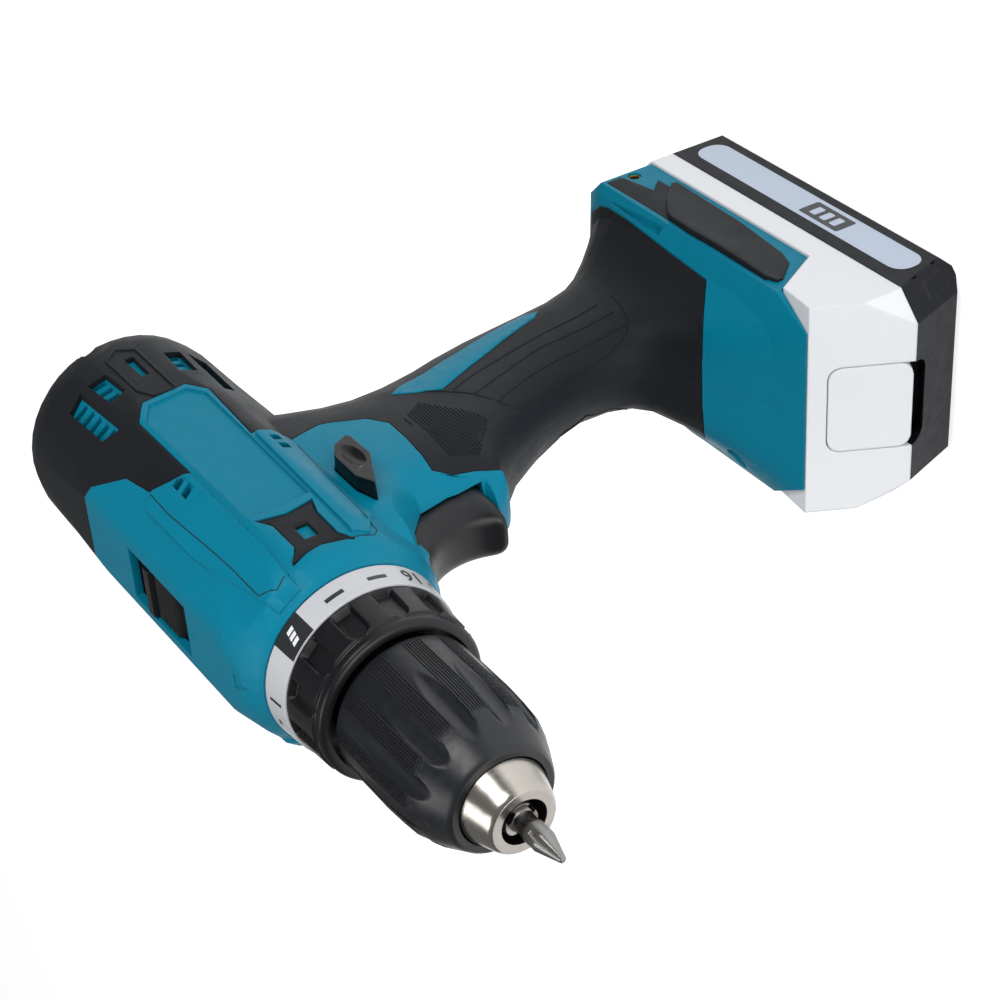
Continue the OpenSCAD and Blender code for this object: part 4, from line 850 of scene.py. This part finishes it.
def smoothPath(points, step):
    dense = []
    padded = [points[0], *points, points[-1]]
    for before, a, b, after in zip(padded, padded[1:], padded[2:], padded[3:]):
        count = max(2, int(math.dist(a, b) / step))
        for i in range(count):
            dense.append(tuple(curveAt(*ends, i / count) for ends in zip(before, a, b, after)))
    return dense + [points[-1]]


def spanAt(field, level):   # where an outline crosses a level
    crossings = []
    for (y0, z0), (y1, z1) in zip(field, field[1:] + field[:1]):
        if (z0 - level) * (z1 - level) < 0:
            crossings.append(y0 + (y1 - y0) * (level - z0) / (z1 - z0))
    return sorted(crossings)


def sidePaths(nodeNames, side, flatPaths, rise, widestJump=4 * mm):   # [y, z] paths laid on the surface
    paths = []
    for flat in flatPaths:
        run = []
        for y, z in flat:
            hit = onSide(nodeNames, side, y * mm, z * mm, rise)
            if hit is None or (run and (hit - run[-1]).length > widestJump):
                paths.append(run)
                run = []
            if hit is not None:
                run.append(hit)
        paths.append(run)
    return [path for path in paths if len(path) > 1]


# fine ribs of the chuck sleeve

ribSet = dict(   # the section is in shares of half the width and of the height
    fields=12, ridges=7, firstAngle=24.0, pitch=2.15, width=0.42 * mm, height=0.3 * mm, endFade=0.15,
    back=25.4 * mm, front=60.0 * mm, steps=14, section=((-1, -0.15), (-0.35, 1.0), (0.35, 1.0), (1, -0.15)))


def buildRibs():
    steps, ringCount = ribSet["steps"], len(ribSet["section"])
    corners = []
    for k in range(steps + 1):
        along = ribSet["back"] + (ribSet["front"] - ribSet["back"]) * k / steps
        radius = turnedRadius("chuck_grip", ribSet["firstAngle"], along)
        fade = 1.0 if 0 < k < steps else ribSet["endFade"]
        for side, rise in ribSet["section"]:
            out = radius + ribSet["height"] * rise * fade
            corners.append((out, frontFace - along, side * ribSet["width"] / 2))
    mesh = solidMesh("rib", corners, ringFaces(steps + 1, ringCount))
    slot = slotOf["chuck_sleeve"]
    grown("sleeve_ribs", mesh, "spin", bodyOf["chuck_sleeve"], slot, finish[slot],
          {"Groups": ribSet["fields"], "Each": ribSet["ridges"], "Group Angle": 360.0 / ribSet["fields"],
           "Pitch Angle": ribSet["pitch"], "First Angle": ribSet["firstAngle"], "Height": spindleHeight})


buildRibs()
print("ribs on the sleeve")


# texture and contour lines of the grip, laid on its surface from the side

gripSet = dict(   # the textured field, as [y, z] in millimetres
    field=((1.9, 152.7), (-4.4, 161.5), (-24.9, 160.2), (-27.7, 151.1), (-13.7, 139.2)),
    pitch=1.05, step=1.2, shortest=1.5, lineStep=2.0, bead=0.24 * mm, lineBead=0.22 * mm, rise=0.02 * mm)
gripLines = (   # each as [y, z] in millimetres
    ((2.9, 140.5), (6.7, 131.5), (10.6, 118.8), (14.7, 102.3), (16.1, 90.8), (17.3, 79.2)),
    ((-2.2, 136.1), (3.5, 122.4), (9.0, 106.2), (10.4, 91.2), (10.9, 77.7)),
    ((-7.5, 131.9), (-1.0, 117.6), (3.0, 103.4), (4.5, 90.7), (4.2, 77.8)),
    ((11.9, 155.8), (6.7, 148.0), (1.3, 140.5), (-4.2, 135.2), (-8.1, 131.2), (-10.0, 127.6), (-8.9, 122.0),
     (-4.0, 108.5), (-0.7, 96.9), (0.3, 86.6), (1.4, 80.5), (4.2, 77.0), (10.0, 75.0), (17.8, 73.6)),
)


def buildGrip():
    field = gripSet["field"]
    heights = [point[1] for point in field]
    low, high = min(heights), max(heights)
    texture = []
    for k in range(1, int((high - low) / gripSet["pitch"]) + 1):
        level = low + gripSet["pitch"] * k
        span = spanAt(field, level)
        if len(span) == 2 and span[1] - span[0] > gripSet["shortest"]:
            count = max(2, int((span[1] - span[0]) / gripSet["step"]))
            texture.append([(span[0] + (span[1] - span[0]) * i / count, level) for i in range(count + 1)])
    contours = [smoothPath(line, gripSet["lineStep"]) for line in gripLines]
    for side, word in flanks:
        nodeName = "soft_grip_" + word
        paths = sidePaths([nodeName], side, texture, gripSet["rise"])
        beadPiece("grip_texture_" + word, paths, nodeName, gripSet["bead"])
        paths = sidePaths([nodeName], side, contours, gripSet["rise"])
        beadPiece("grip_contours_" + word, paths, nodeName, gripSet["lineBead"])


buildGrip()
print("grip texture and contours")


# plates over an outline of [y, z], with an optional rectangular window, that follow the surface below them

def patchPiece(name, outline, side, nodeNames, slot, rise, thickness, window=None, cell=1.6, unseen=30 * mm):
    mesh = bpy.data.meshes.new(name)
    lines = []
    for axis in (1, 2):
        low, high = min(p[axis - 1] for p in outline), max(p[axis - 1] for p in outline)
        lines += [(axis, low + cell * k) for k in range(1, int((high - low) / cell) + 1)]
    if window:
        lines += [(1, window[0]), (1, window[1]), (2, window[2]), (2, window[3])]
    with editing(mesh) as draft:
        draft.faces.new([draft.verts.new((0, y * mm, z * mm)) for y, z in outline])
        for axis, place in lines:
            normal = Vector((0, axis == 1, axis == 2))
            sliced(draft, normal * place * mm, normal)
        if window:
            middles = {face: face.calc_center_median() / mm for face in draft.faces}
            inside = [face for face, middle in middles.items()
                      if window[0] < middle.y < window[1] and window[2] < middle.z < window[3]]
            bmesh.ops.delete(draft, geom=inside, context="FACES")
        for vertex in draft.verts:
            hit = onSide(nodeNames, side, vertex.co.y, vertex.co.z)
            vertex.co.x = (hit.x if hit else side * unseen) + side * rise
        draft.normal_update()
        for face in draft.faces:
            if face.normal.x * side < 0:
                face.normal_flip()
    mesh.shade_smooth()
    thicken(pieceFrom(name, mesh, "tool", slot), thickness)


# plain label on each side of the battery

labelSet = dict(   # the plate's outline is [y, z] in millimetres
    back=49.0, front=-50.8, low=7.2, high=18.6, corner=5.0, lift=0.12 * mm, thickness=0.25 * mm,
    panel=(-20.5, -2.5), panelInset=1.6, panelCorner=0.8, panelLift=0.15 * mm, film=0.1 * mm,
    bars=3, barStart=3.0, barPitch=4.6, barWidth=2.8, barInset=3.4, barCorner=0.5, barLift=0.18 * mm,
    plate=((51.8, 3.9), (51.8, 23.5), (-57.2, 23.5), (-51.0, 3.9)), plateLift=0.08 * mm,
    plateThickness=0.5 * mm)


def roundedPlate(y0, y1, z0, z1, corner, steps=6):   # the outline of a plate with round corners
    outline = []
    for cy, cz, start in ((y1 - corner, z1 - corner, 0), (y0 + corner, z1 - corner, 90),
                          (y0 + corner, z0 + corner, 180), (y1 - corner, z0 + corner, 270)):
        for k in range(steps + 1):
            turn = math.radians(start + 90 * k / steps)
            outline.append((cy + corner * math.cos(turn), cz + corner * math.sin(turn)))
    return outline


def platePiece(name, outline, side, lift, thickness, slot, material):
    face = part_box("battery_case")[1 if side > 0 else 0][0]
    corners = [(face + side * lift, y * mm, z * mm) for y, z in outline]
    order = tuple(range(len(corners)))[::side]   # turned round on the right, so that it faces outwards
    sheetPiece(name, corners, [order], bodyOf["battery_case"], slot, material, thickness)


def buildLabels():
    low, high = labelSet["low"], labelSet["high"]
    front, back = labelSet["panel"]
    inset, barInset, barCorner = labelSet["panelInset"], labelSet["barInset"], labelSet["barCorner"]
    film = labelSet["film"]
    label = roundedPlate(labelSet["front"], labelSet["back"], low, high, labelSet["corner"])
    panel = roundedPlate(front, back, low + inset, high - inset, labelSet["panelCorner"], 3)
    for side, word in flanks:
        platePiece("battery_side_" + word, labelSet["plate"], side, labelSet["plateLift"],
                   labelSet["plateThickness"], "case_plastic", finish["case_plastic"])
        platePiece("battery_label_" + word, label, side, labelSet["lift"], labelSet["thickness"],
                   "white_plastic", prints["label"])
        platePiece("battery_label_block_" + word, panel, side, labelSet["panelLift"], film,
                   "black_plastic", prints["dark"])
        for k in range(labelSet["bars"]):
            y = front + labelSet["barStart"] + labelSet["barPitch"] * k
            bar = roundedPlate(y, y + labelSet["barWidth"], low + barInset, high - barInset, barCorner, 3)
            platePiece("battery_label_bar_%s_%d" % (word, k), bar, side, labelSet["barLift"], film,
                       "white_plastic", prints["label"])


buildLabels()
print("labels on the battery")


# painted shade lines along the seam round each raised rib, and a moulded ridge on the tail

seamShadeAndRidgeSet = dict(bead=0.16 * mm, step=1.5, ridge=0.5 * mm)
seamShadeOutlines = (   # each as [behind the front, over the axis] in millimetres
    ((68.4, 22.2), (57.2, 22.4), (40.1, 21.6), (23.5, 20.9), (9.3, 20.7), (5.6, 17.1), (7.2, 12.6)),
    ((65.0, -20.8), (55.2, -19.4), (31.0, -16.2), (15.7, -14.8), (10.6, -15.6), (8.6, -13.7), (8.5, -7.4)),
)
tailRidge = (   # in the same way
    (101, 3.6), (101, -3.2), (127, -3.2), (130.5, 1.6), (126.5, 6.4), (106, 6.4), (101, 3.6),
)


def behindFront(points):
    return [(frontFace / mm + away, spindleHeight / mm + height) for away, height in points]


def stepped(outline):
    return behindFront(denseRows(outline, seamShadeAndRidgeSet["step"]))


def buildSeamShadeAndRidge():
    for side, word in flanks:
        housing, grip = "housing_" + word, "soft_grip_" + word
        # dark beads along the seam lines: painted shade where the shade at the rib edges falls
        seams = sidePaths([housing], side, [stepped(outline) for outline in seamShadeOutlines], 0.0)
        beadPiece("rib_seam_shade_" + word, seams, housing, seamShadeAndRidgeSet["bead"], 6, "black_plastic", prints["seam"])
        ridge = sidePaths([grip], side, [stepped(tailRidge)], 0.0)
        beadPiece("tail_ridge_" + word, ridge, grip, seamShadeAndRidgeSet["ridge"], 8)


buildSeamShadeAndRidge()
print("seams on the housing")


padSet = dict(   # as [behind the front, over the axis] in millimetres
    outline=((8.3, 10.6), (13, 7.2), (24, 7.2), (29.1, 10.0), (27.2, 1.5),
             (28.7, -6.6), (23, -5.0), (12.5, -5.0), (7.8, -7.6), (10.2, 1.5)),
    window=(14.8, 20.8, -0.8, 3.2), rise=1.1 * mm, thickness=1.0 * mm)


def buildPads():
    (near, bottom), (far, top) = behindFront([padSet["window"][0::2], padSet["window"][1::2]])
    for side, word in flanks:
        patchPiece("side_pad_" + word, behindFront(padSet["outline"]), side, ["housing_" + word], "soft_grip",
                   padSet["rise"], padSet["thickness"], (near, far, bottom, top))


buildPads()
print("side pads")


leafSet = dict(   # as [y, z] in millimetres
    outline=((11, 156.5), (7.5, 150.5), (4.8, 143), (8.2, 136), (11.6, 129), (15.1, 121), (18.7, 113),
             (22, 104.8), (25, 97), (27.8, 94), (29.2, 98), (28.3, 105.5), (26.4, 113), (24.4, 120.2),
             (21.8, 127.4), (19.6, 134.7), (17, 142), (14, 152.5)),
    rise=0.25 * mm, thickness=0.6 * mm, screw=(20.0, 138.0), notch=4.6)


def buildLeaves():   # on the right, the leaf has a notch round the screw
    outline = denseRows(leafSet["outline"] + leafSet["outline"][:1], 1.0)[:-1]
    screwY, screwZ = leafSet["screw"]
    notched = []
    for y, z in outline:
        grow = max(1.0, leafSet["notch"] / math.hypot(y - screwY, z - screwZ))
        notched.append((screwY + (y - screwY) * grow, screwZ + (z - screwZ) * grow))
    for side, word in flanks:
        below = ["soft_grip_" + word, "housing_" + word]
        shape = outline if word == "left" else notched
        patchPiece("leaf_" + word, shape, side, below, "teal_shell", leafSet["rise"], leafSet["thickness"])


buildLeaves()
print("leaves on the grip")


bladeSet = dict(   # edges as [forward, height], the section as shares of the way down and of the crest
    base=36.0, crest=1.3, step=2.0, foot=1.5, swell=0.6,
    upperEdge=((-36.0, 34.4), (-2.9, 35.1), (20.8, 37.4), (26.0, 39.5), (32.0, 46.6)),
    crestEdge=((-36.0, 36.4), (-28.0, 44.5), (-19.0, 50.6), (-7.0, 51.2), (4.0, 50.7), (28.0, 50.4),
               (32.0, 48.8)),
    section=((0.0, 0.0), (0.3, 0.12), (0.62, 0.42), (0.85, 0.85), (0.94, 1.0), (0.98, 0.92), (1.0, 0.4)))


def buildBlades():   # each plate is flush above, and its crest runs along the lower edge
    first, last = bladeSet["upperEdge"][0][0], bladeSet["upperEdge"][-1][0]
    count = int((last - first) / bladeSet["step"])
    inner = bladeSet["base"] - bladeSet["foot"]
    for side, word in flanks:
        corners = []
        for k in range(count + 1):
            forward = first + (last - first) * k / count
            swell = bladeSet["crest"] * math.sin(math.pi * (0.03 + 0.94 * k / count)) ** bladeSet["swell"]
            upper, crest = between(bladeSet["upperEdge"], forward), between(bladeSet["crestEdge"], forward)
            outline = [(bladeSet["base"] + rise * swell, upper + (crest - upper) * share)
                       for share, rise in bladeSet["section"]]
            for out, height in outline + [(inner, crest), (inner, upper)]:
                corners.append((side * out * mm, -forward * mm, height * mm))
        mesh = solidMesh("blade", corners, ringFaces(count + 1, len(bladeSet["section"]) + 2))
        shadeSmooth(mesh, 35)
        pieceFrom("foot_plate_" + word, mesh, "tool", "soft_grip")


buildBlades()
print("plates on the foot")


# stage, light and camera

cameraSet = dict(position=(0.3850, -0.5017, 0.4299), target=(0.0002, -0.0313, 0.1478), roll=-4.08, lens=85.13)
lampSet = {   # place, aim and power of each soft white lamp
    "skyLamp": ((1.0, -0.25, 0.75), (0.0, -0.03, 0.13), 7.2),
    "faceLamp": ((0.25, -1.2, 0.35), (0.0, -0.05, 0.15), 6.0),
    "topLamp": ((-0.15, -0.1, 1.3), (0.0, 0.0, 0.15), 4.0),
}
stageSet = dict(radius=6.0, drop=0.2 * mm, glow=0.72, worldLight=0.24, lampSize=0.7)
white = (1.0, 1.0, 1.0, 1.0)


def aimed(place, target, up=(0, 0, 1), roll=0.0):
    back = (Vector(place) - Vector(target)).normalized()
    right = Vector(up).cross(back).normalized()
    over = back.cross(right)
    turn = math.radians(roll)
    level = math.cos(turn) * right + math.sin(turn) * over
    upright = math.cos(turn) * over - math.sin(turn) * right
    matrix = Matrix((level, upright, back)).transposed().to_4x4()
    matrix.translation = Vector(place)
    return matrix


def cameraRays(draft):
    rays = draft.add("ShaderNodeLightPath").outputs
    seen = draft.math("ADD", rays["Is Camera Ray"], rays["Is Glossy Ray"])
    return draft.math("ADD", seen, rays["Is Transmission Ray"], True)


def buildFloor():
    mesh = bpy.data.meshes.new("floor")
    with editing(mesh) as draft:
        bmesh.ops.create_circle(draft, cap_ends=True, segments=96, radius=stageSet["radius"])
        bmesh.ops.translate(draft, verts=draft.verts, vec=(0, 0, -stageSet["drop"]))
    paint = ShaderDraft("floor_paint")
    paint.shade({"Base Color": (0.9, 0.9, 0.9, 1), "Roughness": 0.9, "Emission Color": white,
                 "Emission Strength": paint.math("MULTIPLY", cameraRays(paint), stageSet["glow"])})
    mesh.materials.append(paint.material)
    placed("floor", mesh)


def buildWorld():   # white where the camera sees it, dimmer as a light
    world = bpy.data.worlds.new("studio")
    scene.world = world
    world.use_nodes = True
    draft = TreeDraft(world.node_tree)
    draft.tree.nodes.clear()
    seen = draft.add("ShaderNodeLightPath").outputs["Is Camera Ray"]
    brightness = {"Value": seen, "To Min": stageSet["worldLight"], "To Max": 1.0}
    strength = draft.add("ShaderNodeMapRange", None, brightness).outputs[0]
    background = draft.add("ShaderNodeBackground", None, {"Color": white, "Strength": strength})
    draft.add("ShaderNodeOutputWorld", None, {"Surface": background.outputs[0]})


def buildLamps():
    for name, (place, target, power) in lampSet.items():
        lamp = bpy.data.lights.new(name, "AREA")
        lamp.shape = "DISK"
        lamp.size = stageSet["lampSize"]
        lamp.energy = power
        placed(name, lamp, aimed(place, target))


def buildCamera():
    camera = bpy.data.cameras.new("camera")
    camera.lens = cameraSet["lens"]
    camera.sensor_width = 36
    camera.clip_start = 0.01
    view = aimed(cameraSet["position"], cameraSet["target"], (1, 0, 0), cameraSet["roll"])
    scene.camera = placed("camera", camera, view)


buildFloor()
buildWorld()
buildLamps()
buildCamera()
scene.view_settings.view_transform = "Standard"
print("stage, lamps and camera ready")
